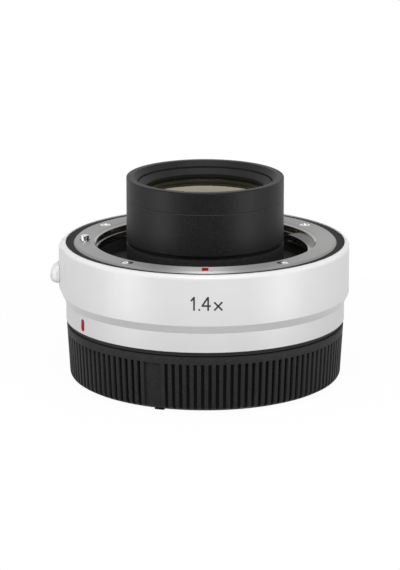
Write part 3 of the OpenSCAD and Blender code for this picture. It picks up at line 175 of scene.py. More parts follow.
# The groove floors are painted near black, as painted shade.
tone = add(moulded_abs, "MixRGB", {"Fac": painted_groove_shade.outputs["Result"], "Color1": tone.outputs["Color"],
                                   "Color2": linear("#030303")})
gloss = add(moulded_abs, "MapRange", {"Value": bloom.outputs["Fac"], "From Min": 0.3, "From Max": 0.7,
                                      "To Min": 0.56, "To Max": 0.68})
skin = add(moulded_abs, "Bump", {"Height": grain.outputs["Fac"], "Strength": 0.6, "Distance": 0.03 * mm})
shade = add(moulded_abs, "BsdfPrincipled", {"Base Color": tone.outputs["Color"], "IOR": 1.5,
                                            "Specular IOR Level": 0.15,
                                            "Roughness": gloss.outputs["Result"],
                                            "Normal": skin.outputs["Normal"]})
add(moulded_abs, "OutputMaterial", {"Surface": shade.outputs["BSDF"]})

draft = atan((cap_rim_r - cap_foot_r) / cap_h)
round_at = (32.1, 2.587)


def cap_side(z):
    """Radius of the cap's drafted side at a height, in mm."""
    return cap_foot_r + z * tan(draft)


sweep_turns = [-90, -82, -74, -66, -58.17]
round_turns = [-54, -45, -32, -18, -3.36]
cap_outline = [(floor_disc_r, 0)]
cap_outline += [(flat_r + sweep_r * cos(radians(a)), sweep_r + sweep_r * sin(radians(a)))
                for a in sweep_turns]
cap_outline += [(round_at[0] + foot_round * cos(radians(a)), round_at[1] + foot_round * sin(radians(a)))
                for a in round_turns]
cap_outline += [(cap_side(groove_top), groove_top), (cap_side(cap_h - rim_round), cap_h - rim_round),
                (cap_rim_r - rim_ease, cap_h - rim_ease), (cap_rim_r - rim_round, cap_h),
                (cap_rim_r - cap_wall, cap_h), (cap_side(cap_floor) - cap_wall, cap_floor),
                (floor_disc_r, cap_floor)]
groove_row = len(sweep_turns)
panel_row = groove_row + 1
top_row = groove_row + len(round_turns) + 1


def sink(bm, faces, depth):
    """Sinks faces of the cap's side to a floor that follows the draft."""
    edges = list(dict.fromkeys(e for f in faces for e in f.edges))
    made = bmesh.ops.extrude_face_region(bm, geom=faces + edges)
    for v in (g for g in made["geom"] if isinstance(g, bmesh.types.BMVert)):
        flat = Vector((v.co.x, v.co.y, 0))
        floor_r = (cap_side(v.co.z / mm) - depth / cos(draft)) * mm
        v.co += flat.normalized() * min(0, floor_r - flat.length)


def sides(bm, low, high, inset=0.5):
    """The cap's side faces between two rows of its outline, down to an inset in mm."""
    z0, z1 = cap_outline[low][1] * mm, cap_outline[high][1] * mm
    r0 = (cap_outline[low][0] - inset) * mm
    return [f for f in bm.faces if z0 < f.calc_center_median().z < z1
            and f.calc_center_median().xy.length > r0]


def band(across, up):
    """Closed outline of a square-cut ring between two radii and two heights."""
    (r0, r1), (z0, z1) = across, up
    return [(r0, z0), (r1, z0), (r1, z1), (r0, z1), (r0, z0)]


cap = bmesh.new()
groove_turn = groove_w / cap_rim_r * 180 / pi
half_rib = (rib_pitch - groove_turn) / 2
first_rib = panel_at + panel_sector / 2
turn(cap, cap_outline, first_rib + half_rib, groove_turn, steps=1)
sink(cap, sides(cap, groove_row, top_row), groove_depth)
turn(cap, cap_outline, first_rib, half_rib, steps=1)
turn(cap, cap_outline, first_rib + half_rib + groove_turn, half_rib, steps=1)
fine_weld = 0.0005
weld(cap, fine_weld)
hair = 0.01
mouth_fold = 50
mouth_reach = 0.3
mouth_z = cap_outline[panel_row][1]
mouth = [e for e in cap.edges if len(e.link_faces) == 2 and e.calc_face_angle() > radians(mouth_fold)
         and min(v.co.z for v in e.verts) > (mouth_z - hair) * mm
         and max(v.co.z for v in e.verts) < (groove_top + hair) * mm
         and min(v.co.xy.length / mm - cap_side(v.co.z / mm) for v in e.verts) > -mouth_reach]
bmesh.ops.bevel(cap, geom=mouth, offset=rib_edge * mm, affect="EDGES", segments=2, profile=0.5,
                material=-1, clamp_overlap=False)
ribs = round((360 - panel_sector) / rib_pitch)
bmesh.ops.spin(cap, geom=cap.verts[:] + cap.edges[:] + cap.faces[:], cent=(0, 0, 0), axis=(0, 0, 1),
               dvec=(0, 0, 0), angle=radians(rib_pitch * (ribs - 1)), steps=ribs - 1, use_duplicate=True)

index = bmesh.new()
edge_turn = (panel_sector - panel_span) / 2
turn(index, cap_outline, panel_at - panel_span / 2, panel_span, steps=6)
sink(index, sides(index, panel_row, top_row), panel_depth)
turn(index, cap_outline, panel_at - panel_sector / 2, edge_turn, steps=1)
turn(index, cap_outline, panel_at + panel_span / 2, edge_turn, steps=1)
panel_mesh = bpy.data.meshes.new("index_panel")
index.to_mesh(panel_mesh)
index.free()
cap.from_mesh(panel_mesh)
weld(cap)

nub = bmesh.ops.create_cube(cap, size=1, matrix=Matrix.Rotation(radians(panel_at + nub_turn - 90), 4, "Z")
                            @ Matrix.Translation((nub_r * mm, 0, nub_z * mm))
                            @ Matrix.Diagonal((*(s * mm for s in nub_size), 1)))
nub_edges = list(dict.fromkeys(e for v in nub["verts"] for e in v.link_edges))
bmesh.ops.bevel(cap, geom=nub_edges, offset=nub_edge * mm, affect="EDGES", segments=2, profile=0.5,
                material=-1)
turn(cap, band(skirt_r, skirt_z), 0, 360, steps=120)
for theta in claw_at:
    turn(cap, band(claw_r, claw_z), theta - claw_span / 2, claw_span, steps=8)
weld(cap, fine_weld)
bmesh.ops.holes_fill(cap, edges=[e for e in cap.edges if e.is_boundary], sides=0)
piece(cap, "ribbed_cap", moulded_abs, "black_plastic", "dust_cap", "rear_cap")

# Rear mount: a nitrile seal ring, the turned bayonet with its tail, and the flat screws that hold it.
# The seal is pinched under the housing, so only its dark edge shows as a line above the cap.


def dress(finish, *nodes):
    """Gives CAD nodes their finish."""
    for node in nodes:
        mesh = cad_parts[node].data
        mesh.materials.clear()
        mesh.materials.append(finish)


# Nitrile rubber, moulded: a dull near black, with a dusty bloom and hardly any gloss.
nitrile = new_finish("moulded_nitrile")
place = add(nitrile, "TexCoord").outputs["Object"]
dust = add(nitrile, "TexNoise", {"Vector": place, "Scale": 1 / (1.2 * mm), "Detail": 5.0})
tone = add(nitrile, "MixRGB", {"Fac": dust.outputs["Fac"], "Color1": linear("#101011"),
                               "Color2": linear("#19191b")})
skin = add(nitrile, "Bump", {"Height": dust.outputs["Fac"], "Strength": 0.4, "Distance": 0.02 * mm})
shade = add(nitrile, "BsdfPrincipled", {"Base Color": tone.outputs["Color"], "Roughness": 0.8,
                                        "Normal": skin.outputs["Normal"]})
add(nitrile, "OutputMaterial", {"Surface": shade.outputs["BSDF"]})
dress(nitrile, "rear_gasket")

# Chromed brass, faced on a lathe and satin plated: rings of fine turning marks spread the highlights
# round the mount, and the plate itself is a cool, slightly dark silver. The bore and claws are smoother.
# The marks are drawn 0.25 mm apart, coarser than real ones, so that they show.
bore_r = 27.45
wave_at_scale_1 = 0.31
satin_chrome = new_finish("satin_chromed_brass")
place = add(satin_chrome, "TexCoord").outputs["Object"]
lay = add(satin_chrome, "TexWave", {"Vector": place, "Scale": wave_at_scale_1 / (0.25 * mm),
                                    "Distortion": 0.6, "Detail": 2.0, "Detail Scale": 3.0},
          wave_type="RINGS", rings_direction="Z", wave_profile="SIN")
cloud = add(satin_chrome, "TexNoise", {"Vector": place, "Scale": 1 / (6 * mm), "Detail": 4.0})
tone = add(satin_chrome, "MixRGB", {"Fac": cloud.outputs["Fac"], "Color1": linear("#959494"),
                                    "Color2": linear("#a3a3a2")})
gloss = add(satin_chrome, "MapRange", {"Value": cloud.outputs["Fac"], "To Min": 0.46, "To Max": 0.54})
out = add(satin_chrome, "VectorMath", {0: place, 1: (1, 1, 0)}, operation="MULTIPLY")
out = add(satin_chrome, "VectorMath", {0: out.outputs["Vector"]}, operation="LENGTH")
faced = add(satin_chrome, "Math", {0: out.outputs["Value"], 1: bore_r * mm}, operation="GREATER_THAN")
gloss = add(satin_chrome, "MapRange", {"Value": faced.outputs["Value"], "To Min": 0.2,
                                       "To Max": gloss.outputs["Result"]})
lined = add(satin_chrome, "Math", {0: faced.outputs["Value"], 1: 0.85}, operation="MULTIPLY")
skin = add(satin_chrome, "Bump", {"Height": lay.outputs["Fac"], "Strength": 0.25, "Distance": 0.004 * mm})
round_axis = add(satin_chrome, "Tangent", direction_type="RADIAL", axis="Z")
shade = add(satin_chrome, "BsdfPrincipled", {"Base Color": tone.outputs["Color"], "Metallic": 1.0,
                                             "Roughness": gloss.outputs["Result"],
                                             "Anisotropic": lined.outputs["Value"],
                                             "Anisotropic Rotation": 0.25,
                                             "Tangent": round_axis.outputs["Tangent"],
                                             "Normal": skin.outputs["Normal"]})
add(satin_chrome, "OutputMaterial", {"Surface": shade.outputs["BSDF"]})
dress(satin_chrome, "rear_mount_ring")

# Nickel-plated steel screws, cold headed: bright and clean, with faint handling marks.
nickel = new_finish("nickel_plated_steel")
place = add(nickel, "TexCoord").outputs["Object"]
rub = add(nickel, "TexNoise", {"Vector": place, "Scale": 1 / (0.5 * mm), "Detail": 4.0})
tone = add(nickel, "MixRGB", {"Fac": rub.outputs["Fac"], "Color1": linear("#c6c5c3"),
                              "Color2": linear("#e0dfde")})
gloss = add(nickel, "MapRange", {"Value": rub.outputs["Fac"], "To Min": 0.14, "To Max": 0.28})
shade = add(nickel, "BsdfPrincipled", {"Base Color": tone.outputs["Color"], "Metallic": 1.0,
                                       "Roughness": gloss.outputs["Result"]})
add(nickel, "OutputMaterial", {"Surface": shade.outputs["BSDF"]})
dress(nickel, "rear_mount_screws", "rear_contact_screws", "board_screws", "rear_cell_screws",
      "barrel_screws", "front_contact_screws", "lever_screws", "lock_plate_screws")

# Rear contacts and light mask: a moulded block with gold pads, and the black mask with its window.
# The pads are pressed in the block, and an amber strip takes each row of contacts to the board.
# The front block and the throat's liner are moulded of the cap's plastic as well.

# Hard gold over nickel: bright yellow pads with fine wiping marks.
hard_gold = new_finish("hard_gold_plate")
place = add(hard_gold, "TexCoord").outputs["Object"]
wipe = add(hard_gold, "TexNoise", {"Vector": place, "Scale": 1 / (0.3 * mm), "Detail": 3.0})
gloss = add(hard_gold, "MapRange", {"Value": wipe.outputs["Fac"], "To Min": 0.15, "To Max": 0.35})
tone = add(hard_gold, "MixRGB", {"Fac": wipe.outputs["Fac"], "Color1": linear("#d9b35a"),
                                 "Color2": linear("#e8c979")})
shade = add(hard_gold, "BsdfPrincipled", {"Base Color": tone.outputs["Color"], "Metallic": 1.0,
                                          "Roughness": gloss.outputs["Result"]})
add(hard_gold, "OutputMaterial", {"Surface": shade.outputs["BSDF"]})
dress(hard_gold, "rear_contact_pads", "contact_pins")
dress(moulded_abs, "rear_contact_block", "rear_light_mask", "front_contact_block", "throat_liner")

# Polyimide film with copper lines inside: clear amber with darker parallel tracks.
polyimide = new_finish("polyimide_film")
place = add(polyimide, "TexCoord").outputs["Object"]
tracks = add(polyimide, "TexWave", {"Vector": place, "Scale": wave_at_scale_1 / (0.5 * mm),
                                    "Distortion": 0.0},
             wave_type="BANDS", bands_direction="X")
tone = add(polyimide, "MixRGB", {"Fac": tracks.outputs["Fac"], "Color1": linear("#8a4f14"),
                                 "Color2": linear("#b87a2e")})
shade = add(polyimide, "BsdfPrincipled", {"Base Color": tone.outputs["Color"], "Roughness": 0.3,
                                          "IOR": 1.7})
add(polyimide, "OutputMaterial", {"Surface": shade.outputs["BSDF"]})
dress(polyimide, "rear_flex", "front_flex")

# Frame and board: the die-cast magnesium core that every group is screwed to, and the curved board
# under its deck with the chips that pass the lens data on.

# Die-cast magnesium, conversion coated: dull grey-brown with a cloudy, slightly pitted skin.
cast_magnesium = new_finish("die_cast_magnesium")
place = add(cast_magnesium, "TexCoord").outputs["Object"]
cloud = add(cast_magnesium, "TexNoise", {"Vector": place, "Scale": 1 / (2.5 * mm), "Detail": 6.0})
pits = add(cast_magnesium, "TexNoise", {"Vector": place, "Scale": 1 / (0.25 * mm), "Detail": 2.0})
tone = add(cast_magnesium, "MixRGB", {"Fac": cloud.outputs["Fac"], "Color1": linear("#3f3d3a"),
                                      "Color2": linear("#5a5753")})
skin = add(cast_magnesium, "Bump", {"Height": pits.outputs["Fac"], "Strength": 0.5, "Distance": 0.03 * mm})
shade = add(cast_magnesium, "BsdfPrincipled", {"Base Color": tone.outputs["Color"], "Metallic": 0.6,
                                               "Roughness": 0.6, "Normal": skin.outputs["Normal"]})
add(cast_magnesium, "OutputMaterial", {"Surface": shade.outputs["BSDF"]})
dress(cast_magnesium, "main_frame", "lever_slide")

# Solder-masked glass epoxy: green lacquer over slightly raised copper tracks.
solder_mask = new_finish("solder_masked_board")
place = add(solder_mask, "TexCoord").outputs["Object"]
copper = add(solder_mask, "TexBrick", {"Vector": place, "Scale": 1.0, "Mortar Size": 0.12 * mm,
                                       "Brick Width": 2.2 * mm, "Row Height": 0.6 * mm, "Bias": 0.0,
                                       "Color1": linear("#1d5a3c"), "Color2": linear("#226644"),
                                       "Mortar": linear("#164832")})
skin = add(solder_mask, "Bump", {"Height": copper.outputs["Fac"], "Strength": 0.5, "Distance": 0.03 * mm},
           invert=True)
shade = add(solder_mask, "BsdfPrincipled", {"Base Color": copper.outputs["Color"], "Roughness": 0.35,
                                            "Normal": skin.outputs["Normal"]})
add(solder_mask, "OutputMaterial", {"Surface": shade.outputs["BSDF"]})
dress(solder_mask, "circuit_board")

# Epoxy chip packages, moulded: charcoal with a sandy matte top.
chip_epoxy = new_finish("moulded_chip_epoxy")
place = add(chip_epoxy, "TexCoord").outputs["Object"]
sand = add(chip_epoxy, "TexNoise", {"Vector": place, "Scale": 1 / (0.12 * mm), "Detail": 2.0})
tone = add(chip_epoxy, "MixRGB", {"Fac": sand.outputs["Fac"], "Color1": linear("#202122"),
                                  "Color2": linear("#2c2d2e")})
shade = add(chip_epoxy, "BsdfPrincipled", {"Base Color": tone.outputs["Color"], "Roughness": 0.65})
add(chip_epoxy, "OutputMaterial", {"Surface": shade.outputs["BSDF"]})
dress(chip_epoxy, "board_chips")

# Housing: the white outer shell, turned aluminium with a baked satin enamel, clamped under the rear
# mount and closed in front by the trim ring. Its raised pad carries the release lever.

# Baked enamel on aluminium: clean neutral white, satin, with a slight orange peel and faint clouding.
enamel = new_finish("baked_white_enamel")
place = add(enamel, "TexCoord").outputs["Object"]
peel = add(enamel, "TexNoise", {"Vector": place, "Scale": 1 / (0.9 * mm), "Detail": 2.0})
cloud = add(enamel, "TexNoise", {"Vector": place, "Scale": 1 / (12 * mm), "Detail": 3.0})
tone = add(enamel, "MixRGB", {"Fac": cloud.outputs["Fac"], "Color1": linear("#dfdfdf"),
                              "Color2": linear("#e7e7e7")})
gloss = add(enamel, "MapRange", {"Value": peel.outputs["Fac"], "From Min": 0.3, "From Max": 0.7,
                                 "To Min": 0.32, "To Max": 0.4})
skin = add(enamel, "Bump", {"Height": peel.outputs["Fac"], "Strength": 0.25, "Distance": 0.01 * mm})
shade = add(enamel, "BsdfPrincipled", {"Base Color": tone.outputs["Color"], "IOR": 1.5,
                                       "Roughness": gloss.outputs["Result"],
                                       "Normal": skin.outputs["Normal"]})
add(enamel, "OutputMaterial", {"Surface": shade.outputs["BSDF"]})
dress(enamel, "housing_shell")

# Release lever: the thumb knob, moulded with soft edges and a hollow for the thumb, on the neck that goes
# through the slot of the pad to the slide. Its back follows the pad's curve with a hair of play. The CAD
# solid's neck is kept, and drawn out to meet the knob.
pad_r = 36.2
pad_curve_r = 20.0
knob_play = 0.06
knob_z = 24.77
knob_w = 6.8
knob_h = 5.0
knob_corner = 0.9
knob_shoulder = 1.4
knob_rim = 0.1
knob_steps = 24
hollow_depth = 0.8
hollow_at = 3.3
hollow_half_w = 2.1
hollow_half_h = 1.5
neck_cut = 36.0
neck_end = 36.5
thickness = [(0, 0.95), (0.1, 1.3), (0.3, 1.6), (0.6, 1.82), (1.0, 1.95), (1.5, 2.0), (2.0, 2.0),
             (2.4, 1.97), (2.8, 1.88), (3.2, 1.72), (3.55, 1.5), (3.85, 1.22), (4.08, 0.9), (4.25, 0.58),
             (4.38, 0.32), (4.6, 0.14), (4.75, 0.06)]


def loft(bm, rings):
    """Skins a row of closed rings of points, with a flat face at each end."""
    rows = [[bm.verts.new(p) for p in ring] for ring in rings]
    for a, b in zip(rows, rows[1:]):
        for i in range(len(a)):
            j = (i + 1) % len(a)
            bm.faces.new((a[i], a[j], b[j], b[i]))
    bm.faces.new(rows[0])
    bm.faces.new(rows[-1])


knob = bmesh.new()
knob.from_mesh(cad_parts["lever_knob"].data)
weld(knob)
bmesh.ops.bisect_plane(knob, geom=knob.verts[:] + knob.edges[:] + knob.faces[:], dist=0.0001 * mm,
                       plane_co=(-neck_cut * mm, 0, 0), plane_no=(-1, 0, 0), clear_outer=True)
bmesh.ops.holes_fill(knob, edges=[e for e in knob.edges if e.is_boundary], sides=0)
for v in knob.verts:
    if v.co.x < (hair - neck_cut) * mm:
        v.co.x = -neck_end * mm
knob_rings = []
for up, thick in thickness:
    half = knob_w / 2 - knob_corner * (1 - min(1, up / knob_corner, (knob_h - up) / knob_shoulder)) ** 2
    across = [-half * cos(pi * i / knob_steps) for i in range(knob_steps + 1)]
    back = [pad_r - pad_curve_r + ((pad_curve_r + knob_play) ** 2 - x * x) ** 0.5 for x in across]
    hollow = [hollow_depth * max(0, 1 - (x / hollow_half_w) ** 2 - ((up - hollow_at) / hollow_half_h) ** 2)
              for x in across]
    front = [b + knob_rim + max(0, thick - h) * (1 - (x / half) ** 4) ** 0.5
             for x, b, h in zip(across, back, hollow)]
    ring = list(zip(front, across)) + list(zip(back, across))[::-1]
    knob_rings.append([Vector((-r * mm, x * mm, (knob_z + up) * mm)) for r, x in ring])
loft(knob, knob_rings)
piece(knob, "thumb_knob", enamel, "white_paint", "release_lever", "lever_knob", sharp=50)

# Index marks: engraved slots filled by hand with red enamel, wiped before it dries. The front one is flush,
# and the rear one is brushed a little wider than its slot and stands a hair proud of the band.
mark_spread = 0.25
mark_proud = 0.02

# Red enamel, brushed in: a deep signal red with a low shine and faint brush marks.
red_fill = new_finish("red_enamel_fill")
place = add(red_fill, "TexCoord").outputs["Object"]
brush = add(red_fill, "TexNoise", {"Vector": place, "Scale": 1 / (0.4 * mm), "Detail": 3.0})
tone = add(red_fill, "MixRGB", {"Fac": brush.outputs["Fac"], "Color1": linear("#96030a"),
                                "Color2": linear("#b2060f")})
skin = add(red_fill, "Bump", {"Height": brush.outputs["Fac"], "Strength": 0.3, "Distance": 0.02 * mm})
shade = add(red_fill, "BsdfPrincipled", {"Base Color": tone.outputs["Color"], "Roughness": 0.4,
                                         "Specular IOR Level": 0.08,
                                         "Normal": skin.outputs["Normal"]})
add(red_fill, "OutputMaterial", {"Surface": shade.outputs["BSDF"]})
dress(red_fill, "front_index_mark")
rear_mark = bmesh.new()
rear_mark.from_mesh(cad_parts["rear_index_mark"].data)
weld(rear_mark)
middle = sum((v.co for v in rear_mark.verts), Vector()) / len(rear_mark.verts)
beside = Vector((-middle.y, middle.x, 0)).normalized()
outward = middle.xy.to_3d().normalized()
for v in rear_mark.verts:
    v.co += beside * (v.co - middle).dot(beside) * mark_spread + outward * mark_proud * mm
piece(rear_mark, "brushed_rear_mark", red_fill, "red_paint", "converter_body", "rear_index_mark")

# Magnification number: pad printed on the front of the wall over the baked enamel, as a film of ink a few
# hundredths of a millimetre thick. Each stroke is a strip that follows the wall.
body_r = 35.6
ink_t = 0.02
pen_w = 0.4
strokes = [((-3.36, 28.8), (-2.7, 29.62)), ((-2.64, 26.45), (-2.64, 29.85)), ((-1.4, 26.45), (-1.4, 26.9)),
           ((0.71, 26.45), (0.71, 29.85)), ((0.62, 29.66), (-0.68, 27.66)), ((-0.86, 27.62), (1.34, 27.62)),
           ((2.15, 26.5), (4.1, 28.55)), ((2.15, 28.55), (4.1, 26.5))]

# Pad-printed ink: a flat dark grey with slight specks in its cover.
ink = new_finish("pad_printed_ink")
place = add(ink, "TexCoord").outputs["Object"]
speck = add(ink, "TexNoise", {"Vector": place, "Scale": 1 / (0.15 * mm), "Detail": 3.0})
tone = add(ink, "MixRGB", {"Fac": speck.outputs["Fac"], "Color1": linear("#1e1e20"),
                           "Color2": linear("#2c2c2e")})
shade = add(ink, "BsdfPrincipled", {"Base Color": tone.outputs["Color"], "Roughness": 0.5})
add(ink, "OutputMaterial", {"Surface": shade.outputs["BSDF"]})
number = bmesh.new()
for start, end in strokes:
    along = Vector(end) - Vector(start)
    centre = Vector((*(Vector(start) + along / 2), ink_t / 2))
    slant = Matrix.Rotation(atan2(along.y, along.x), 4, "Z")
    strip = bmesh.ops.create_cube(number, size=1, matrix=Matrix.Translation(centre) @ slant
                                  @ Matrix.Diagonal((along.length, pen_w, ink_t, 1)))
    for v in strip["verts"]:
        r = body_r + v.co.z
        v.co = (r * sin(v.co.x / body_r) * mm, -r * cos(v.co.x / body_r) * mm, v.co.y * mm)
piece(number, "magnification_number", ink, "trim_black", "converter_body")

# Lens groups: seven ground elements held by threaded retainers in the rear cell and the front barrel.
# The front one is nearly flat outside, and stands in the retainer's bore with a step at its rim.
window_r = 14.7
window_z = 48.25
window_sag = 0.5
step_z = 46.6
glass_rim_r = 15.95
glass_rim_z = 45.25
rear_face_r = 15.5
rear_face_z = 42.8
rear_face_sag = -2.43

# Optical glass, polished and coated: the coating warms the reflection and the glass block is dim inside.
coated_glass = new_finish("coated_optical_glass")
edge_on = add(coated_glass, "Fresnel", {"IOR": 1.52})
inside = add(coated_glass, "BsdfRefraction", {"Color": linear("#a8a48e"), "Roughness": 0.0, "IOR": 1.52})
coating = add(coated_glass, "BsdfGlossy", {"Color": linear("#fdf6de"), "Roughness": 0.0})
shade = add(coated_glass, "MixShader", {0: edge_on.outputs["Fac"], 1: inside.outputs["BSDF"],
                                        2: coating.outputs["BSDF"]})
add(coated_glass, "OutputMaterial", {"Surface": shade.outputs["Shader"]})
dress(coated_glass, "lens_2", "lens_3", "lens_4", "lens_5", "lens_6", "lens_7")


def lens_arc(r, z, sag, steps=12):
    """Arc of (radius, height) from the axis at z out to r, that falls or rises by the sag."""
    return [(r * i / steps, z - sag * (i / steps) ** 2) for i in range(steps + 1)]


front_glass = bmesh.new()
glass_outline = lens_arc(window_r, window_z, window_sag)
glass_outline += [(window_r, step_z), (glass_rim_r, step_z), (glass_rim_r, glass_rim_z)]
glass_outline += reversed(lens_arc(rear_face_r, rear_face_z, rear_face_sag))
turn(front_glass, glass_outline, 0, 360, steps=128)
piece(front_glass, "front_glass", coated_glass, "coated_glass", "converter_body", "lens_1")

# Barrel and hood: turned aluminium tubes, bead blasted and black anodised. The barrel is screwed to the
# frame's deck, and the hood on the barrel at a thin seam. Retainers and rear cell are finished alike.
seam_z = 45.9
# Half widths in mm of the painted highlight band along the seam: full up to the first, gone at the second.
seam_highlight_full = 0.05
seam_highlight_end = 0.12

# Black anodised aluminium, bead blasted: the dyed oxide mirrors little of the room, so the tube goes from a
# deep black in front to a soft grey at its sides. A thin light line at the seam is a painted highlight, in
# place of the light caught by the barrel's top edge. The speckle of the blasting is really finer, and is
# drawn 0.36 mm wide to show.
anodised = new_finish("black_anodised_aluminium")
place = add(anodised, "TexCoord").outputs["Object"]
blast = add(anodised, "TexNoise", {"Vector": place, "Scale": 1 / (0.36 * mm), "Detail": 2.0})
speck = add(anodised, "MapRange", {"Value": blast.outputs["Fac"], "From Min": 0.35, "From Max": 0.65})
tone = add(anodised, "MixRGB", {"Fac": speck.outputs["Result"], "Color1": linear("#161617"),
                                "Color2": linear("#212122")})
# Painted highlight: a thin band at the seam's height is lightened towards grey.
rise = add(anodised, "SeparateXYZ", {"Vector": place}).outputs["Z"]
away = add(anodised, "Math", {0: rise, 1: seam_z * mm}, operation="SUBTRACT")
away = add(anodised, "Math", {0: away.outputs["Value"]}, operation="ABSOLUTE")
painted_seam_highlight = add(anodised, "MapRange", {"Value": away.outputs["Value"], "From Min": seam_highlight_full * mm,
                                  "From Max": seam_highlight_end * mm, "To Min": 0.7, "To Max": 0.0})
tone = add(anodised, "MixRGB", {"Fac": painted_seam_highlight.outputs["Result"], "Color1": tone.outputs["Color"],
                                "Color2": linear("#3c3c3d")})
gloss = add(anodised, "MapRange", {"Value": blast.outputs["Fac"], "From Min": 0.3, "From Max": 0.7,
                                   "To Min": 0.42, "To Max": 0.54})
skin = add(anodised, "Bump", {"Height": blast.outputs["Fac"], "Strength": 0.6, "Distance": 0.035 * mm})
shade = add(anodised, "BsdfPrincipled", {"Base Color": tone.outputs["Color"], "Specular IOR Level": 0.155,
                                         "Roughness": gloss.outputs["Result"],
                                         "Normal": skin.outputs["Normal"]})
add(anodised, "OutputMaterial", {"Surface": shade.outputs["BSDF"]})
dress(anodised, "front_barrel", "hood_ring", "front_retainer", "middle_retainer", "rear_cell",
      "rear_spacer", "rear_retainer")

# Front mount: the bayonet ring with its three claws, turned from brass and satin chromed like the rear one.
# It is screwed down on the frame from the front.
dress(satin_chrome, "front_mount_ring")

# Front mount screws: four cold-headed steel screws, nickel plated, with a low dome and a cross recess. They
# are sunk in counterbores of the ring, each turned as its thread happened to end.
screw_circle_r = 29.8
screw_seat_z = 34.33
screw_places = [(38.9, 20), (-38.9, 64), (122.6, 38), (-122.6, 5)]
arm_w = 0.2
arm_l = 0.75
arm_turn = atan(arm_w / arm_l)
flank_turn = 0.45
tiny = 1e-9
screw_turns = [q * pi / 2 + a for q in range(4)
               for a in (0, arm_turn, flank_turn, pi / 4, pi / 2 - flank_turn, pi / 2 - arm_turn)]
recess_levels = [(0.6, 0.15), (1.0, 0.86)]
screw_levels = [(1.25, 0.85), (1.43, 0.79), (1.5, 0.68), (1.5, 0), (0.8, 0), (0.8, -5.5)]


def cross_reach(a):
    """How far the cross recess reaches from its middle at an angle."""
    wide = max(abs(cos(a)), tiny)
    tall = max(abs(sin(a)), tiny)
    return max(min(arm_l / wide, arm_w / tall), min(arm_w / wide, arm_l / tall))


def screw_ring(seat, reaches, z):
    """Points round a screw at a height, from how far each reaches."""
    return [seat @ Vector((r * cos(a) * mm, r * sin(a) * mm, z * mm)) for r, a in zip(reaches, screw_turns)]


screws = bmesh.new()
for theta, twist in screw_places:
    seat = Matrix.Rotation(radians(theta - 90), 4, "Z") \
        @ Matrix.Translation((screw_circle_r * mm, 0, screw_seat_z * mm)) \
        @ Matrix.Rotation(radians(twist), 4, "Z")
    rings = [screw_ring(seat, [share * cross_reach(a) for a in screw_turns], z)
             for share, z in recess_levels]
    rings += [screw_ring(seat, [r] * len(screw_turns), z) for r, z in screw_levels]
    loft(screws, rings)
piece(screws, "front_mount_screw_set", nickel, "bright_screw", "converter_body", "front_mount_screws")

# Lock pin: a ground pin with a collar for its spring and a guide tail. It stands as far out of the face as
# the lever travels, so that it is flush when the lever is down.
pin_circle_r = 29.7
pin_tail = [(0, 22.88), (0.7, 22.88), (0.7, 28.38)]
pin_collar = [(1.6, 28.38), (1.6, 29.18), (1.0, 29.18)]
pin_nose = [(1.0, 36.2), (0.94, 36.32), (0.82, 36.38), (0, 36.38)]
pin = bmesh.new()
turn(pin, pin_tail + pin_collar + pin_nose, 0, 360, steps=48)
bmesh.ops.translate(pin, verts=pin.verts, vec=(-pin_circle_r * mm, 0, 0))
piece(pin, "ground_lock_pin", nickel, "bright_screw", "locking_pin", "lock_pin")

# Leaf springs and lock plate: stamped from spring steel strip. The leaves press on the lens's bayonet from
# under the claws, and the plate is the foot of both coil springs.

# Spring steel strip, blued: brownish grey with a low, cloudy shine.
spring_steel = new_finish("blued_spring_steel")
place = add(spring_steel, "TexCoord").outputs["Object"]
heat = add(spring_steel, "TexNoise", {"Vector": place, "Scale": 1 / (1.5 * mm), "Detail": 4.0})
tone = add(spring_steel, "MixRGB", {"Fac": heat.outputs["Fac"], "Color1": linear("#7a6b58"),
                                    "Color2": linear("#9a8a74")})
shade = add(spring_steel, "BsdfPrincipled", {"Base Color": tone.outputs["Color"], "Metallic": 0.6,
                                             "Roughness": 0.38})
add(spring_steel, "OutputMaterial", {"Surface": shade.outputs["BSDF"]})
dress(spring_steel, "bayonet_spring", "lock_plate")

# Coil springs of the lever and the lock pin: wound from spring steel wire. They stand on the lock plate. In
# the real converter they shorten by the lever's travel; here they keep the length of the CAD solids.
for name, node in (("lever_coil", "lever_spring"), ("lock_pin_coil", "lock_pin_spring")):
    coil = bmesh.new()
    coil.from_mesh(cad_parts[node].data)
    made = piece(coil, name, spring_steel, "spring_steel", "converter_body", node, sharp=70)
    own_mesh(made)

# Contact springs: twelve gold-plated fingers cut from one strip, which stays put. Each finger lies flat
# under its pin; in the real converter it bends beside the strip and goes down as far as the pin does, and
# here it is drawn flat and still.
contact_count = 12
contact_turn = 4.001
comb_r = 21.7
strip_w = 0.7
strip_half = (0.74, 0.76)
finger_half = 0.45
finger_end = 24.1
finger_steps = 24
comb_low = 26.28
comb_high = 26.48
root_r = comb_r + strip_w
for k in range(contact_count):
    finger = bmesh.new()
    spread = [(comb_r, strip_half[0]), (root_r, strip_half[1])]
    spread += [(root_r + (finger_end - root_r) * i / finger_steps, finger_half)
               for i in range(finger_steps + 1)]
    outward = Matrix.Rotation(radians(90 + contact_turn * (k - (contact_count - 1) / 2)), 3, "Z")
    loft(finger, [[outward @ Vector((r * mm, x * mm, z * mm))
                   for x, z in ((-w, comb_low), (w, comb_low), (w, comb_high), (-w, comb_high))]
                  for r, w in spread])
    made = piece(finger, "contact_spring_%d" % (k + 1), hard_gold, "gold_contact", None,
                 "contact_spring_comb")
    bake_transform(made)

# Trim ring: spun aluminium painted flat black, let into the housing's mouth, where it hides the joint with
# the mount.

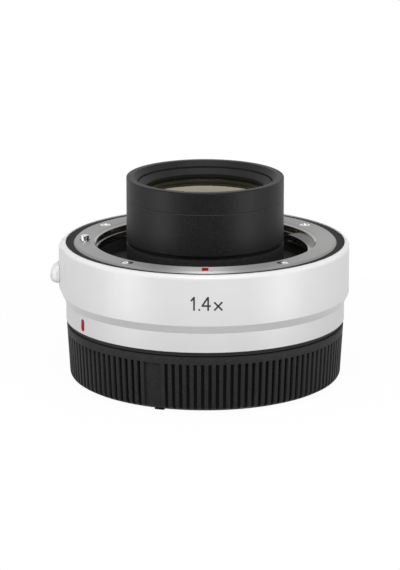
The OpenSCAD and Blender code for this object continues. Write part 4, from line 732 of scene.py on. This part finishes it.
# Flat black paint, sprayed: a fine even tooth greys it under the lights.
flat_black = new_finish("flat_black_paint")
place = add(flat_black, "TexCoord").outputs["Object"]
tooth = add(flat_black, "TexNoise", {"Vector": place, "Scale": 1 / (0.2 * mm), "Detail": 2.0})
tone = add(flat_black, "MixRGB", {"Fac": tooth.outputs["Fac"], "Color1": linear("#19191a"),
                                  "Color2": linear("#232324")})
skin = add(flat_black, "Bump", {"Height": tooth.outputs["Fac"], "Strength": 0.5, "Distance": 0.015 * mm})
shade = add(flat_black, "BsdfPrincipled", {"Base Color": tone.outputs["Color"], "Roughness": 0.8,
                                           "Specular IOR Level": 0.2,
                                           "Normal": skin.outputs["Normal"]})
add(flat_black, "OutputMaterial", {"Surface": shade.outputs["BSDF"]})
dress(flat_black, "front_trim_ring")

# Studio: the converter stands on a white card among four soft boxes, left, right, in front and above. Card
# and room are white to the camera, but the room behind the camera is dim in reflections, and the card
# throws only a little light up.
card_r = 0.11
card_drop = 0.05
card_glow = 0.965
ambient = 0.27
room_dim = 0.1
dim_from = -0.35
dim_full = -0.95
floor_bm = bmesh.new()
bmesh.ops.create_circle(floor_bm, cap_ends=True, segments=128, radius=card_r,
                        matrix=Matrix.Translation((0, 0, -card_drop * mm)))
floor_mesh = bpy.data.meshes.new("white_sweep")
floor_bm.to_mesh(floor_mesh)
floor_bm.free()
sweep = bpy.data.objects.new("white_sweep", floor_mesh)
bpy.context.scene.collection.objects.link(sweep)


def sight(tree):
    """1 for camera rays, and 1 for all rays that are seen: the camera's, reflected or through glass."""
    ray = add(tree, "LightPath").outputs
    seen = add(tree, "Math", {0: ray["Is Camera Ray"], 1: ray["Is Glossy Ray"]}, operation="MAXIMUM")
    seen = add(tree, "Math", {0: seen.outputs["Value"], 1: ray["Is Transmission Ray"]}, operation="MAXIMUM")
    return ray["Is Camera Ray"], seen.outputs["Value"]


# Matt white card: bright paper where it is seen, and grey where it only throws light.
sweep_white = new_finish("white_sweep")
seen = sight(sweep_white)[1]
glow_share = add(sweep_white, "Math", {0: seen, 1: card_glow}, operation="MULTIPLY")
card = add(sweep_white, "MixRGB", {"Fac": seen, "Color1": linear("#5c5c5c"), "Color2": linear("#ffffff")})
paper = add(sweep_white, "BsdfDiffuse", {"Color": card.outputs["Color"]})
glow = add(sweep_white, "Emission", {"Color": (1, 1, 1, 1), "Strength": 1.0})
lit = add(sweep_white, "MixShader", {0: glow_share.outputs["Value"], 1: paper.outputs["BSDF"],
                                     2: glow.outputs["Emission"]})
add(sweep_white, "OutputMaterial", {"Surface": lit.outputs["Shader"]})
floor_mesh.materials.append(sweep_white)

world = bpy.data.worlds.new("studio")
world.use_nodes = True
world.node_tree.nodes.clear()
bpy.context.scene.world = world
by_camera, seen = sight(world)
way = add(world, "SeparateXYZ", {"Vector": add(world, "TexCoord").outputs["Generated"]})
room = add(world, "MapRange", {"Value": way.outputs["Y"], "From Min": dim_full, "From Max": dim_from,
                               "To Min": room_dim, "To Max": 1.0}, interpolation_type="SMOOTHSTEP")
bright = add(world, "Math", {0: room.outputs["Result"], 1: by_camera}, operation="MAXIMUM")
power = add(world, "MapRange", {"Value": seen, "To Min": ambient, "To Max": bright.outputs["Value"]})
sky = add(world, "Background", {"Color": (1, 1, 1, 1), "Strength": power.outputs["Result"]})
add(world, "OutputWorld", {"Surface": sky.outputs["Background"]})


def soft_box(name, azimuth, height, watts, size=0.5):
    """A square soft box a metre away, that faces the converter."""
    light = bpy.data.lights.new(name, "AREA")
    light.shape = "SQUARE"
    light.size = size
    light.energy = watts
    aim = Vector((0, 0, 30 * mm))
    level = cos(radians(height))
    away = Vector((sin(radians(azimuth)) * level, -cos(radians(azimuth)) * level, sin(radians(height))))
    made = bpy.data.objects.new(name, light)
    made.location = aim + away
    made.rotation_euler = (-away).to_track_quat("-Z", "Y").to_euler()
    bpy.context.scene.collection.objects.link(made)


soft_box("left_soft_box", azimuth=-63, height=-5, watts=4.3)
soft_box("right_soft_box", azimuth=61, height=-5, watts=4.3)
soft_box("front_soft_box", azimuth=0, height=45, watts=5.7)
soft_box("top_soft_box", azimuth=0, height=89, watts=2.15, size=0.6)

look_down = 14.476
camera = bpy.data.cameras.new("photo_camera")
camera.lens = 218.87
camera.sensor_width = 36.0
camera.shift_x = -0.00904
eye = bpy.data.objects.new("photo_camera", camera)
eye.location = (0, -0.8316, 0.2383)
eye.rotation_euler = (radians(90 - look_down), 0, 0)
bpy.context.scene.collection.objects.link(eye)
bpy.context.scene.camera = eye
bpy.context.scene.view_settings.view_transform = "Standard"
